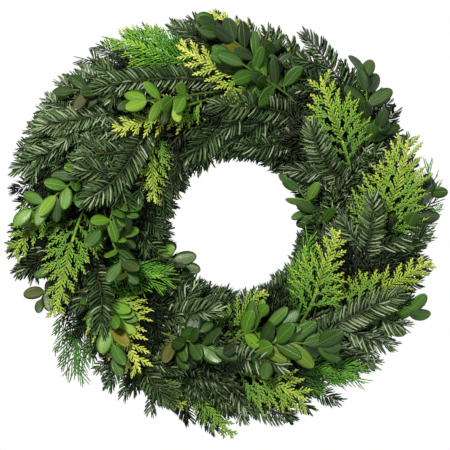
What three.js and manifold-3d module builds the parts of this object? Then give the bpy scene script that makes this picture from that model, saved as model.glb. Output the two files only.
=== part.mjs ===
// A fresh evergreen wreath: fir, cypress and boxwood cuttings clamped in bundles round a wire ring.
// Millimetres, +Z up. The wreath lies on its back on z = 0 with its face up and its middle on the Z axis.
// Every cutting is one closed body: a four-sided stem whose own faces are drawn out into shoots,
// needles or leaves, so that a leaf grows from its stem with no seam.

import * as THREE from 'three';
import { ConvexGeometry } from 'three/addons/geometries/ConvexGeometry.js';
import { mergeVertices } from 'three/addons/utils/BufferGeometryUtils.js';
import Module from 'manifold-3d';

// ---- Driving dimensions ----

const RING_RADIUS = 101.5; // an 8 inch clamp ring, to the middle of its wire
const RING_WIRE = 4.2; // thickness of the ring's wire
const RING_STEPS = 32;
const CLAMP_COUNT = 10;
const CLAMP_WIRE = 2.6;
const CLAMP_WIDTH = 20; // outside width of a clamp, across the ring
const CLAMP_HEIGHT = 13.4; // outside height of a closed clamp
const CLAMP_GAP = 5; // between the ends of its two arms
const CLAMP_CORNER = 1.4; // cut off its upper corners
const CLAMP_FLOOR = RING_WIRE + 0.2 * CLAMP_WIRE; // middle of its lower wire, which bites into the ring
const BUNDLE_FLOOR = CLAMP_FLOOR + 0.6 * CLAMP_WIRE; // the stems in it lie on that wire

const STEM_THICKNESS = 2.4; // where it is cut
const STEM_TIP = 1.1;
const STEM_POINT = 3; // bud at the end of a stem
const STEM_TAIL = 13; // cut end, behind the clamp
const STEM_PITCH = 3.1; // between stems side by side in a clamp
const STEM_COLUMNS = 4;
const CLAMP_BEHIND = 52; // degrees from the tip of a cutting back to the clamp that holds it
const STEM_AHEAD = 4; // straight stretch past the clamp
const LEAVING_PULL = 0.34; // share of its way on which a stem keeps the ring's direction
const ARRIVING_PULL = 0.38; // and share on which it keeps the direction of its tip
const SINK = 8; // how far under the face that last share starts, so that tips rise out of the body

// A side shoot: its thickness, its slant from its stem in degrees, where it starts, ahead and out from the
// stem's side, and how far it curves forwards, as a share of its length.
const SHOOT = { thickness: 1.5, tip: 1, slant: 46, ahead: 1.2, out: 1.4, curve: 0.12 };
const SHOOT_PLACES = { from: 0.12, to: 0.62 }; // as shares of the leafy part of the stem
const SHOOT_SHORTENING = 0.35; // towards the tip of the stem
const SHOOTS = {
  fir: { length: 34, bare: 0.12, foliage: 0.85 },
  boxwood: { length: 30, bare: 0.25, foliage: 1 },
};

const FACE_HEIGHT = 60; // crest of the foliage
const FACE_CREST = 102; // its distance from the middle
const FACE_OUTER = 71; // from the crest out to where the foliage would reach the table
const FACE_INNER = 59;
const FACE_LEAN = 0.9; // how far the face looks outwards at its edges, where it looks up at the crest
const TIP_FOLLOWS = 0.8; // share of the face's slope that the tip of a cutting follows

// Foliage: its size and the least and most that its length is multiplied by, then its step along a stem
// and the share of the stem at which it starts, then its slant from the stem in degrees, how much that
// closes towards the tip, and how much it varies.
const NEEDLE = {
  length: 15, lengths: [0.88, 1.08],
  step: 4.4, from: 0.44,
  slant: 50, closing: 16, vary: 4,
};
const NEEDLE_TURN = 16; // degrees either way round the stem
const FROND = {
  length: 19, lengths: [0.9, 1.1], width: 5.4, thickness: 0.9,
  step: 8, from: 0.48,
  slant: 44, closing: 14, vary: 3,
};
const FROND_DROOP = 8; // degrees either way
// Fronds are as long as an arch over their stem: the shares of a half circle where it starts and how much
// more it covers, the shortest frond as a share of the length, and how much longer the middle ones are.
const FAN = { start: 0.18, span: 0.72, shortest: 0.45, more: 0.6 };
const LEAF = {
  length: 18, lengths: [0.88, 1.1], width: 10.5, thickness: 0.8, cup: 1.6,
  step: 15, from: 0.62,
  slant: 58, closing: 8, vary: 4,
};
const LEAF_BASE = 2.2; // length of stem that bears a pair of leaves
const LEAF_LIFT = [-4, 22]; // degrees
const TOP_LEAF = { length: 0.8, slant: 48 }; // the leaf on the upper side of every second pair

const CLEARANCE = 0.32; // kept between any two cuttings
const LEAF_OVERLAP = 0.003; // cubic mm that the hulls of two neighbours on one stem may share at their feet
const FOOT_OVERLAP = 0.4; // and those of a stem and its side shoot, as the stem's side is a little twisted
const NO_OVERLAP = 1e-4;
const MERGE_WITHIN = 1e-4; // points this close are one
const SAME_LENGTH = 0.01;
const LEAFY_END = 8; // how far leaves reach past the tip of their stem
const BARE_STEP = 18; // between rings of a stem's bare stretch
const LOWEST_TIP = 5; // of a stem
const LOWEST = 1.2; // foliage stays this far above the table
const HIGHEST = 70; // and within this height
const OUTERMOST = 168; // and this distance from the middle
const SEED = 6;

const COLOURS = {
  fir: 0x3f5a44,
  golden: 0xa8ab3c,
  green: 0x6f8f35,
  boxwood: 0x3d5f2c,
  ring: 0x55604f,
};

// ---- The cuttings ----
// Each row: kind, tip angle (degrees anticlockwise from +X), tip distance from the middle (mm), lean of
// the tip out from the ring's direction (degrees), height (1 is on the face of the wreath), number of
// side shoots, size of its leaves. Cuttings all lie anticlockwise, so each bundle hides the next clamp.

const CUTTINGS = [
  ['boxwood', 93, 153, 46, 0.92, 0, 1.0],
  ['boxwood', 88, 128, 32, 0.97, 0, 1.0],
  ['boxwood', 127, 118, 36, 0.98, 0, 0.9],
  ['boxwood', 139, 160, 58, 0.85, 0, 0.8],
  ['boxwood', 176, 153, 66, 0.92, 0, 0.9],
  ['boxwood', 183, 100, 60, 0.98, 0, 0.9],
  ['boxwood', 206, 81, 0, 0.95, 0, 0.9],
  ['boxwood', 225, 42, -25, 0.9, 0, 0.9],
  ['boxwood', 202, 155, 55, 0.55, 0, 0.8],
  ['boxwood', 230, 132, 34, 0.97, 0, 1.0],
  ['boxwood', 269, 98, 24, 1.0, 1, 1.0],
  ['boxwood', 299, 94, 45, 0.97, 0, 1.0],
  ['boxwood', 308, 118, 38, 0.97, 0, 1.1],
  ['boxwood', 335, 158, 49, 0.85, 0, 0.9],
  ['boxwood', 33, 57, -14, 0.85, 0, 0.8],
  ['boxwood', 47, 158, 47, 0.9, 1, 1.0],
  ['boxwood', 9, 160, 40, 0.6, 0, 0.9],
  ['golden', 94, 166, 39, 0.5, 0, 0.8],
  ['golden', 105, 143, 50, 0.97, 0, 1.0],
  ['golden', 140, 113, 36, 0.8, 0, 0.9],
  ['golden', 162, 50, -34, 0.9, 0, 0.9],
  ['golden', 188, 166, 47, 0.7, 0, 1.0],
  ['golden', 208, 149, 46, 0.9, 0, 1.0],
  ['golden', 240, 130, 40, 0.93, 0, 1.1],
  ['golden', 257, 146, 38, 0.65, 0, 0.9],
  ['golden', 272, 167, 62, 0.5, 0, 0.9],
  ['golden', 295, 151, 62, 0.92, 0, 1.1],
  ['golden', 301, 56, -9, 0.85, 0, 0.9],
  ['golden', 357, 88, 25, 0.95, 0, 1.0],
  ['golden', 350, 163, 60, 0.85, 0, 1.0],
  ['golden', 25, 155, 42, 1.0, 0, 1.2],
  ['golden', 57, 135, 44, 1.0, 0, 1.1],
  ['green', 119, 165, 58, 0.93, 0, 1.1],
  ['green', 219, 53, -60, 0.9, 0, 0.9],
  ['green', 225, 166, 55, 0.5, 0, 1.0],
  ['green', 311, 156, 60, 0.7, 0, 1.0],
  ['green', 345, 60, -15, 0.8, 0, 0.9],
  ['green', 14, 164, 31, 0.4, 0, 0.9],
  ['fir', 131, 140, 32, 0.85, 1, 1.0],
  ['fir', 151, 160, 58, 0.88, 1, 1.0],
  ['fir', 164, 165, 56, 0.75, 1, 1.0],
  ['fir', 168, 106, 50, 0.97, 2, 1.15],
  ['fir', 192, 160, 70, 0.4, 0, 1.0],
  ['fir', 218, 122, 47, 0.9, 1, 1.0],
  ['fir', 251, 139, 27, 0.85, 1, 1.0],
  ['fir', 287, 152, 29, 0.55, 0, 1.0],
  ['fir', 290, 113, 34, 0.9, 1, 1.1],
  ['fir', 261, 63, -13, 0.85, 0, 1.0],
  ['fir', 337, 141, 47, 0.93, 1, 1.1],
  ['fir', 356, 152, 50, 0.55, 0, 1.0],
  ['fir', 8, 110, 5, 0.95, 1, 1.0],
  ['fir', 12, 60, -12, 0.6, 0, 1.0],
  ['fir', 47, 99, 34, 0.9, 1, 1.0],
  ['fir', 65, 155, 27, 0.7, 1, 1.0],
  ['fir', 73, 60, -12, 0.8, 0, 1.0],
  ['fir', 91, 88, 0, 1.0, 1, 1.1],
  ['fir', 102, 155, 39, 0.5, 0, 1.0],
  ['fir', 113, 58, -12, 0.75, 0, 1.1],
  ['fir', 186, 60, -12, 0.5, 0, 1.0],
];

// ---- Small helpers ----

const UP = new THREE.Vector3(0, 0, 1);
const radians = THREE.MathUtils.degToRad;

// Seeded draws, so that every build gives the same wreath.
function makeRandom(seed) {
  let state = seed >>> 0;
  return function random(low, high) {
    state = (state + 0x6d2b79f5) >>> 0;
    let mixed = Math.imul(state ^ (state >>> 15), 1 | state);
    mixed = (mixed + Math.imul(mixed ^ (mixed >>> 7), 61 | mixed)) ^ mixed;
    const unit = ((mixed ^ (mixed >>> 14)) >>> 0) / 4294967296;
    return low + (high - low) * unit;
  };
}

function polar(angle, distance, height) {
  return new THREE.Vector3(Math.cos(angle) * distance, Math.sin(angle) * distance, height);
}

// Sum of vectors, each times a number: combine(a, 2, b, 3) is 2a + 3b.
function combine(...terms) {
  const sum = new THREE.Vector3();
  for (let i = 0; i < terms.length; i += 2) {
    sum.addScaledVector(terms[i], terms[i + 1]);
  }
  return sum;
}

// Height of the wreath's rounded face at a distance from its middle.
function faceHeight(distance) {
  const offset = distance - FACE_CREST;
  const reach = offset > 0 ? FACE_OUTER : FACE_INNER;
  return FACE_HEIGHT * Math.sqrt(Math.max(0, 1 - (offset / reach) ** 2));
}

// Which way the face of the wreath looks at a point: up at the crest, outwards at its edges.
function faceNormal(point) {
  const flat = new THREE.Vector3(point.x, point.y, 0);
  const offset = flat.length() - FACE_CREST;
  const reach = offset > 0 ? FACE_OUTER : FACE_INNER;
  return combine(UP, 1, flat.normalize(), (FACE_LEAN * offset) / reach).normalize();
}

// ---- Solids, and what is already in place ----

const wasm = await Module();
wasm.setup();

function toSolid(geometry) {
  const bare = geometry.clone();
  bare.deleteAttribute('normal');
  bare.deleteAttribute('uv');
  const merged = mergeVertices(bare, MERGE_WITHIN);
  const vertProperties = merged.attributes.position.array;
  const triVerts = Uint32Array.from(merged.index.array);
  return new wasm.Manifold(new wasm.Mesh({ numProp: 3, vertProperties, triVerts }));
}

function toGeometry(solid) {
  const mesh = solid.getMesh();
  const geometry = new THREE.BufferGeometry();
  geometry.setAttribute('position', new THREE.BufferAttribute(mesh.vertProperties, 3));
  geometry.setIndex(new THREE.BufferAttribute(mesh.triVerts, 1));
  return geometry;
}

// The convex hull of some corners, thickened all round by a margin.
function hullOf(corners, margin) {
  const points = [];
  for (const corner of corners) {
    if (margin === 0) {
      points.push(corner);
      continue;
    }
    for (const side of [margin, -margin]) {
      points.push(corner.clone().add(new THREE.Vector3(side, 0, 0)));
      points.push(corner.clone().add(new THREE.Vector3(0, side, 0)));
      points.push(corner.clone().add(new THREE.Vector3(0, 0, side)));
    }
  }
  return toSolid(new ConvexGeometry(points));
}

const inPlace = []; // every piece set so far: its corners, box, hull, the name of its owner, and its stem

// A stretch of wood gives the stem it belongs to; a leaf or needle has none of its own.
function settle(corners, owner, stem) {
  const box = new THREE.Box3().setFromPoints(corners);
  inPlace.push({ corners, box, owner, stem, hull: null });
}

function isOutside(box, corners) {
  const tooWide = corners.some((corner) => Math.hypot(corner.x, corner.y) > OUTERMOST);
  return box.min.z < LOWEST || box.max.z > HIGHEST || tooWide;
}

// How a new piece is held against one in place: with the clearance all round where that belongs to
// another cutting, and else only against growing through it.
const TESTS = {
  other: { margin: CLEARANCE, allowed: NO_OVERLAP },
  ownWood: { margin: 0, allowed: FOOT_OVERLAP },
  ownLeaf: { margin: 0, allowed: LEAF_OVERLAP },
  ownStem: { margin: 0, allowed: LEAF_OVERLAP },
};

function relationOf(piece, owner, stem, isLeaf) {
  if (piece.owner !== owner) {
    return 'other';
  }
  if (piece.stem === stem) {
    return 'ownStem';
  }
  return isLeaf ? 'ownLeaf' : 'ownWood';
}

// Whether a piece with these corners clears everything in place. A leaf or needle meets its stem at its
// foot, so only its outer corners are held against that; a stretch of wood has none.
function isFree(corners, owner, stem, outer = []) {
  const box = new THREE.Box3().setFromPoints(corners);
  if (isOutside(box, corners)) {
    return false;
  }
  const wide = box.clone().expandByScalar(CLEARANCE);
  const hulls = {};
  for (const piece of inPlace.filter((other) => wide.intersectsBox(other.box))) {
    const relation = relationOf(piece, owner, stem, outer.length > 0);
    const held = relation === 'ownStem' ? outer : corners;
    if (held.length < 4) {
      continue; // a single corner has no hull
    }
    const { margin, allowed } = TESTS[relation];
    hulls[relation] ??= hullOf(held, margin);
    piece.hull ??= hullOf(piece.corners, 0);
    if (hulls[relation].intersect(piece.hull).volume() > allowed) {
      return false;
    }
  }
  return true;
}

// ---- A body grown from a stem ----

// Points and faces of one closed body.
class Growth {
  constructor() {
    this.points = [];
    this.faces = [];
  }

  point(position) {
    this.points.push(position);
    return this.points.length - 1;
  }

  face(a, b, c) {
    this.faces.push(a, b, c);
  }

  quad(a, b, c, d) {
    this.face(a, b, c);
    this.face(a, c, d);
  }

  at(indices) {
    return indices.map((index) => this.points[index]);
  }

  geometry() {
    const geometry = new THREE.BufferGeometry();
    const flat = this.points.flatMap((point) => point.toArray());
    geometry.setAttribute('position', new THREE.Float32BufferAttribute(flat, 3));
    geometry.setIndex(this.faces);
    return geometry;
  }
}

// Four corners round a station of a stem: left top, right top, right bottom, left bottom.
function cornersOf(station) {
  const { position, left, up, half } = station;
  return [
    combine(position, 1, left, half, up, half),
    combine(position, 1, left, -half, up, half),
    combine(position, 1, left, -half, up, -half),
    combine(position, 1, left, half, up, -half),
  ];
}

// Stations along a curve, which is cut where the lengths say.
function stationsAlong(curve, lengths, thickness, normalAt) {
  const total = curve.getLength();
  return lengths.map((length) => {
    const share = Math.min(1, length / total);
    const position = curve.getPointAt(share);
    const forward = curve.getTangentAt(share);
    const left = normalAt(position).cross(forward).normalize();
    const up = forward.clone().cross(left);
    return { position, forward, left, up, half: thickness(share) / 2 };
  });
}

const SIDES = { top: 0, right: 1, bottom: 2, left: 3 };

// The way out of a side of the stem.
function outward(station, side) {
  const ways = [station.up, combine(station.left, -1), combine(station.up, -1), station.left];
  return ways[side];
}

// A face of a stem as the foot of what grows from it: its corners as left top, right top,
// right bottom and left bottom of the new growth.
function footOf(quad, side) {
  const [a, b, c, d] = quad;
  const turned = { [SIDES.left]: [b, c, d, a], [SIDES.right]: [d, a, b, c] };
  return turned[side] ?? [a, b, c, d];
}

// Closes the stem's surface between stations, with what grows from each face. The sprouts are
// functions, kept by station and side; each closes its own face.
function skinStem(body, rings, sprouts) {
  for (let i = 0; i + 1 < rings.length; i += 1) {
    for (let side = 0; side < 4; side += 1) {
      const next = (side + 1) % 4;
      const quad = [rings[i][side], rings[i][next], rings[i + 1][next], rings[i + 1][side]];
      const sprout = sprouts.get(`${i}/${side}`);
      if (sprout) {
        sprout(body, quad);
      } else {
        body.quad(...quad);
      }
    }
  }
}

// ---- Needles, fronds and leaves ----

// Ways of bending a sprout clear of its neighbours: degrees up, and forwards.
const BENDS = [[0, 0], [12, 0], [-12, 0], [0, -8], [20, -6], [-20, -6]];

// The direction of a sprout: slanted forwards from its stem, and bent.
function sproutDirection(station, side, slant, around, bend) {
  const out = outward(station, side);
  const across = new THREE.Vector3().crossVectors(station.forward, out);
  const lift = side === SIDES.top || side === SIDES.bottom ? 0 : bend[0];
  const tilt = radians(slant - bend[1]);
  const rolled = combine(out, Math.cos(radians(around)), across, Math.sin(radians(around)));
  const lifted = combine(rolled, Math.cos(radians(lift)), station.up, Math.sin(radians(lift)));
  return combine(station.forward, Math.cos(tilt), lifted, Math.sin(tilt)).normalize();
}

function footMiddle(body, quad) {
  return combine(...body.at(quad).flatMap((point) => [point, 0.25]));
}

// A needle: the face of the stem drawn out to a point.
function needle(tip) {
  return (body, [a, b, c, d]) => {
    const point = body.point(tip);
    body.face(a, b, point);
    body.face(b, c, point);
    body.face(c, d, point);
    body.face(d, a, point);
  };
}

// A flat blade from a foot. Its outline runs from the foot's right side round the tip to the left,
// each point with an upper and a lower corner; the middle is set lower or higher, as a cup.
function blade(upper, lower, side, middle) {
  return (body, quad) => {
    const [leftTop, rightTop, rightBottom, leftBottom] = footOf(quad, side);
    const above = [rightTop, ...upper.map((point) => body.point(point)), leftTop];
    const below = [rightBottom, ...lower.map((point) => body.point(point)), leftBottom];
    for (let i = 0; i + 1 < above.length; i += 1) {
      body.quad(below[i], below[i + 1], above[i + 1], above[i]);
    }
    if (middle) {
      const high = body.point(middle[0]);
      const low = body.point(middle[1]);
      for (let i = 0; i < above.length; i += 1) {
        const next = (i + 1) % above.length;
        body.face(above[i], above[next], high);
        body.face(below[next], below[i], low);
      }
      return;
    }
    for (let i = 0; i + 2 < above.length; i += 1) {
      const last = above.length - 1;
      body.face(above[i], above[i + 1], above[last]);
      body.face(below[i + 1], below[i], below[last]);
    }
  };
}

// Corners of a blade's outline. Each outline row is a share of the length and of the half width.
function bladeCorners(start, direction, normal, outline, length, width, thickness) {
  const left = normal.clone().cross(direction).normalize();
  const up = direction.clone().cross(left);
  const set = (along, across, height) =>
    combine(start, 1, direction, along * length, left, (across * width) / 2, up, height);
  const upper = outline.map(([along, across, rise]) => set(along, across, rise + thickness / 2));
  const lower = outline.map(([along, across, rise]) => set(along, across, rise - thickness / 2));
  return { upper, lower, set };
}

const FROND_OUTLINE = [[0.55, -0.95, 0], [1, 0, 0], [0.5, 0.95, 0]];
const LEAF_OUTLINE = [[0.4, -0.95, 1], [0.74, -0.85, 1], [1, 0, 0], [0.74, 0.85, 1], [0.4, 0.95, 1]];

// Tries a sprout at each bend, and keeps the first that is free of everything in place.
function growSprout(job, attempt) {
  const { body, rings, index, side, owner, stem, sprouts } = job;
  const next = (side + 1) % 4;
  const quad = [rings[index][side], rings[index][next], rings[index + 1][next], rings[index + 1][side]];
  for (const bend of BENDS) {
    const { corners, sprout } = attempt(quad, bend);
    const solidCorners = [...body.at(quad), ...corners];
    if (isFree(solidCorners, owner, stem, corners)) {
      settle(solidCorners, owner, null);
      sprouts.set(`${index}/${side}`, sprout);
      return true;
    }
  }
  return false;
}

function growNeedle(job, station, size, random) {
  const around = random(-NEEDLE_TURN, NEEDLE_TURN);
  const slant = NEEDLE.slant + random(-NEEDLE.vary, NEEDLE.vary) - NEEDLE.closing * job.share;
  const reach = NEEDLE.length * size * random(...NEEDLE.lengths);
  growSprout(job, (quad, bend) => {
    const direction = sproutDirection(station, job.side, slant, around, bend);
    const tip = combine(footMiddle(job.body, quad), 1, direction, reach);
    return { corners: [tip], sprout: needle(tip) };
  });
}

function growFrond(job, station, size, random) {
  const arch = Math.sin(Math.PI * (FAN.start + FAN.span * job.share));
  const length = FROND.length * size * (FAN.shortest + FAN.more * arch) * random(...FROND.lengths);
  const slant = FROND.slant - FROND.closing * job.share + random(-FROND.vary, FROND.vary);
  const droop = random(-FROND_DROOP, FROND_DROOP);
  growSprout(job, (quad, bend) => {
    const direction = sproutDirection(station, job.side, slant, 0, [bend[0] + droop, bend[1]]);
    const start = footMiddle(job.body, quad);
    const width = FROND.width * size;
    const parts = [start, direction, station.up, FROND_OUTLINE, length, width, FROND.thickness];
    const { upper, lower } = bladeCorners(...parts);
    return { corners: [...upper, ...lower], sprout: blade(upper, lower, job.side, null) };
  });
}

function growLeaf(job, station, size, random) {
  const onTop = job.side === SIDES.top;
  const length = LEAF.length * size * (onTop ? TOP_LEAF.length : 1) * random(...LEAF.lengths);
  const openSlant = onTop ? TOP_LEAF.slant : LEAF.slant;
  const slant = openSlant - LEAF.closing * job.share + random(-LEAF.vary, LEAF.vary);
  const lift = random(...LEAF_LIFT);
  growSprout(job, (quad, bend) => {
    const direction = sproutDirection(station, job.side, slant, 0, [bend[0] + lift, bend[1]]);
    const start = footMiddle(job.body, quad);
    const normal = onTop ? combine(station.forward, -1) : station.up;
    const outline = LEAF_OUTLINE.map(([along, across, rise]) => [along, across, rise * LEAF.cup]);
    const parts = [start, direction, normal, outline, length, LEAF.width * size, LEAF.thickness];
    const { upper, lower, set } = bladeCorners(...parts);
    const middle = [set(0.5, 0, LEAF.thickness / 2), set(0.5, 0, -LEAF.thickness / 2)];
    const corners = [...upper, ...lower, ...middle];
    return { corners, sprout: blade(upper, lower, job.side, middle) };
  });
}

// ---- Stems ----

// The way out of a clamp: a straight stretch held in it, then an easy curve to the tip.
function routeOf(cutting, swing) {
  const { clampAngle, column, row, tip, tipForward } = cutting;
  const radius = RING_RADIUS + (column - (STEM_COLUMNS - 1) / 2) * STEM_PITCH;
  const height = BUNDLE_FLOOR + STEM_PITCH * (0.5 + row);
  const ring = new THREE.Vector3(-Math.sin(clampAngle), Math.cos(clampAngle), 0);
  const held = polar(clampAngle, radius, height);
  const cut = combine(held, 1, ring, -STEM_TAIL);
  const out = combine(held, 1, ring, STEM_AHEAD);
  const span = out.distanceTo(tip);
  const start = combine(out, 1, ring, LEAVING_PULL * span, UP, swing.lift / 2);
  const side = new THREE.Vector3(tip.x, tip.y, 0).normalize();
  const back = combine(tip, 1, tipForward, -ARRIVING_PULL * span);
  const end = combine(back, 1, UP, swing.lift - SINK, side, swing.aside);
  const path = new THREE.CurvePath();
  path.add(new THREE.LineCurve3(cut, out));
  path.add(new THREE.CubicBezierCurve3(out, start, end, tip));
  return path;
}

const SWINGS = [];
for (const lift of [0, 4, -4, 8, -8, 12, -12, 17, 23, 30]) {
  for (const aside of [0, 5, -5, 10, -10, 16, -16, 23, -23]) {
    SWINGS.push({ lift, aside });
  }
}
SWINGS.sort((a, b) => Math.hypot(a.lift, a.aside) - Math.hypot(b.lift, b.aside));

function steps(from, to, step) {
  const count = Math.max(1, Math.round((to - from) / step));
  return Array.from({ length: count + 1 }, (_, i) => from + ((to - from) * i) / count);
}

// Lengths at which a leafy stem has its rings: coarse where it is bare, fine where it bears leaves.
function ringLengths(total, from, kind) {
  const bare = steps(0, total * from, BARE_STEP).slice(0, -1);
  if (kind !== 'boxwood') {
    return [...bare, ...steps(total * from, total, (kind === 'fir' ? NEEDLE : FROND).step)];
  }
  const pairs = steps(total * from, total - LEAF_BASE, LEAF.step);
  return [...bare, ...pairs.flatMap((length) => [length, length + LEAF_BASE])];
}

const taper = (share) => STEM_THICKNESS + (STEM_TIP - STEM_THICKNESS) * share;
const shootTaper = (share) => SHOOT.thickness + (SHOOT.tip - SHOOT.thickness) * share;

const stemEnd = (stations) => {
  const last = stations[stations.length - 1];
  return combine(last.position, 1, last.forward, STEM_POINT);
};

// The corners of each stretch of a stem, from its foot on the stem it leaves, if it has one.
function stretchesOf(foot, stations) {
  const rings = [...foot, ...stations.map(cornersOf), [stemEnd(stations)]];
  return rings.slice(1).map((ring, i) => [...rings[i], ...ring]);
}

// The first station that lies past a share of a stem.
function firstPast(lengths, total, share) {
  return lengths.findIndex((length) => length >= total * share - SAME_LENGTH);
}

// Sets a stem in place if all of it is free.
function placeStem(stretches, owner, stem) {
  if (!stretches.every((corners) => isFree(corners, owner, stem))) {
    return false;
  }
  stretches.forEach((corners) => settle(corners, owner, stem));
  return true;
}

const FOLIAGE = { fir: NEEDLE, golden: FROND, green: FROND, boxwood: LEAF };

function placeMainStem(cutting) {
  const { from } = FOLIAGE[cutting.kind];
  for (const swing of SWINGS) {
    const route = routeOf(cutting, swing);
    const lengths = ringLengths(route.getLength(), from, cutting.kind);
    const stations = stationsAlong(route, lengths, taper, faceNormal);
    if (placeStem(stretchesOf([], stations), cutting.name, 'main')) {
      cutting.first = firstPast(lengths, route.getLength(), from);
      cutting.stations = stations;
      return;
    }
  }
  throw new Error(`${cutting.name} has no free way out of its clamp`);
}

// Side shoots, left and right in turn, each from a side face of the main stem.
function placeShoots(cutting) {
  const { stations, first, kind } = cutting;
  cutting.shoots = [];
  const leafy = stations.length - 1 - first;
  for (let n = 0; n < cutting.shootCount; n += 1) {
    const place = (n + 0.5) / cutting.shootCount;
    const share = THREE.MathUtils.lerp(SHOOT_PLACES.from, SHOOT_PLACES.to, place);
    let index = first + Math.round(leafy * share);
    if (kind === 'boxwood' && (index - first) % 2 === 1) {
      index += 1; // a stretch between two pairs of leaves bears nothing
    }
    const side = n % 2 === 0 ? SIDES.left : SIDES.right;
    const length = SHOOTS[kind].length * (1 - SHOOT_SHORTENING * share) * cutting.size;
    const shoot = placeShoot(cutting, index, side, length, `shoot ${n}`);
    if (shoot) {
      cutting.shoots.push(shoot);
    }
  }
}

function placeShoot(cutting, index, side, length, stem) {
  const station = cutting.stations[index];
  const after = cutting.stations[index + 1];
  const foot = combine(station.position, 0.5, after.position, 0.5);
  const next = (side + 1) % 4;
  const [back, front] = [cornersOf(station), cornersOf(after)];
  const footCorners = [back[side], back[next], front[next], front[side]];
  for (const bend of BENDS) {
    const direction = sproutDirection(station, side, SHOOT.slant, 0, bend);
    const out = combine(foot, 1, outward(station, side), station.half + SHOOT.out);
    const start = combine(out, 1, station.forward, SHOOT.ahead);
    const end = combine(start, 1, direction, length, station.forward, length * SHOOT.curve);
    const bow = combine(start, 1, direction, length / 2);
    const curve = new THREE.QuadraticBezierCurve3(start, bow, end);
    const { bare } = SHOOTS[cutting.kind];
    const lengths = ringLengths(curve.getLength(), bare, cutting.kind);
    const stations = stationsAlong(curve, lengths, shootTaper, () => station.up.clone());
    if (placeStem(stretchesOf([footCorners], stations), cutting.name, stem)) {
      return { index, side, stations, first: firstPast(lengths, curve.getLength(), bare), stem };
    }
  }
  return null;
}

// ---- Growing the leaves of each kind along a stem ----

function leafyJobs(kind, stations, first) {
  const jobs = [];
  const last = stations.length - 1;
  for (let index = first; index < last; index += 1) {
    const share = (index - first) / Math.max(1, last - first);
    const turn = index - first;
    if (kind === 'fir') {
      const pair = turn % 2 === 0 ? [SIDES.top, SIDES.bottom] : [SIDES.left, SIDES.right];
      pair.forEach((side) => jobs.push({ index, side, share }));
    } else if (kind === 'boxwood' && turn % 2 === 0) {
      jobs.push({ index, side: SIDES.left, share });
      jobs.push({ index, side: SIDES.right, share });
      if (turn % 4 === 2) {
        jobs.push({ index, side: SIDES.top, share });
      }
    } else if (kind !== 'boxwood') {
      jobs.push({ index, side: SIDES.left, share });
      jobs.push({ index, side: SIDES.right, share });
    }
  }
  return jobs;
}

const GROWERS = { fir: growNeedle, golden: growFrond, green: growFrond, boxwood: growLeaf };

function growAlong(body, cutting, part, random) {
  const { stations, first, stem, rings, sprouts } = part;
  for (const spot of leafyJobs(cutting.kind, stations, first)) {
    if (sprouts.has(`${spot.index}/${spot.side}`)) {
      continue;
    }
    const job = { ...spot, body, rings, sprouts, owner: cutting.name, stem };
    const size = cutting.size * (stem === 'main' ? 1 : SHOOTS[cutting.kind].foliage);
    GROWERS[cutting.kind](job, stations[spot.index], size, random);
  }
}

// The end of a stem, drawn out to a point.
function capStem(body, part) {
  const ring = part.rings[part.rings.length - 1];
  const tip = body.point(stemEnd(part.stations));
  for (let side = 0; side < 4; side += 1) {
    body.face(ring[side], ring[(side + 1) % 4], tip);
  }
}

function growCutting(cutting, random) {
  const body = new Growth();
  const ringsOf = (stations) => stations.map((s) => cornersOf(s).map((corner) => body.point(corner)));
  const main = {
    stem: 'main',
    stations: cutting.stations,
    first: cutting.first,
    rings: ringsOf(cutting.stations),
    sprouts: new Map(),
  };
  const shoots = cutting.shoots.map((shoot) => {
    const rings = ringsOf(shoot.stations);
    const part = { ...shoot, rings, sprouts: new Map() };
    main.sprouts.set(`${shoot.index}/${shoot.side}`, (target, quad) => {
      skinStem(target, [footOf(quad, shoot.side), ...rings], shiftSprouts(part.sprouts));
      capStem(target, part);
    });
    return part;
  });
  growAlong(body, cutting, main, random);
  shoots.forEach((part) => growAlong(body, cutting, part, random));
  const cut = main.rings[0];
  body.quad(cut[3], cut[2], cut[1], cut[0]);
  skinStem(body, main.rings, main.sprouts);
  capStem(body, main);
  return body.geometry();
}

// A shoot's skin has one ring more than its stations: the face of the main stem that it leaves.
function shiftSprouts(sprouts) {
  const shifted = new Map();
  for (const [key, sprout] of sprouts) {
    const [index, side] = key.split('/').map(Number);
    shifted.set(`${index + 1}/${side}`, sprout);
  }
  return shifted;
}

// ---- Reading the list of cuttings ----

const NAMES = {
  boxwood: 'boxwood_sprig',
  golden: 'golden_cypress',
  green: 'green_cypress',
  fir: 'fir_spray',
};

function readCuttings() {
  const counts = { boxwood: 0, golden: 0, green: 0, fir: 0 };
  const pitch = 360 / CLAMP_COUNT;
  const cuttings = CUTTINGS.map(([kind, angle, reach, lean, height, shootCount, size]) => {
    counts[kind] += 1;
    const name = `${NAMES[kind]}_${String(counts[kind]).padStart(2, '0')}`;
    const clamp = Math.round((angle - CLAMP_BEHIND) / pitch);
    const tipAngle = radians(angle);
    const end = reach - LEAFY_END * Math.sin(radians(lean));
    const tip = polar(tipAngle, end, Math.max(LOWEST_TIP, faceHeight(end) * height));
    const ahead = new THREE.Vector3(-Math.sin(tipAngle), Math.cos(tipAngle), 0);
    const outwards = polar(tipAngle, 1, 0);
    const level = combine(ahead, Math.cos(radians(lean)), outwards, Math.sin(radians(lean)));
    const normal = faceNormal(tip);
    const tipForward = combine(level, 1, normal, -TIP_FOLLOWS * level.dot(normal)).normalize();
    const clampAngle = radians(clamp * pitch);
    return { kind, name, clamp, clampAngle, tip, tipForward, reach, height, shootCount, size };
  });
  fillClamps(cuttings);
  return cuttings;
}

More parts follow.
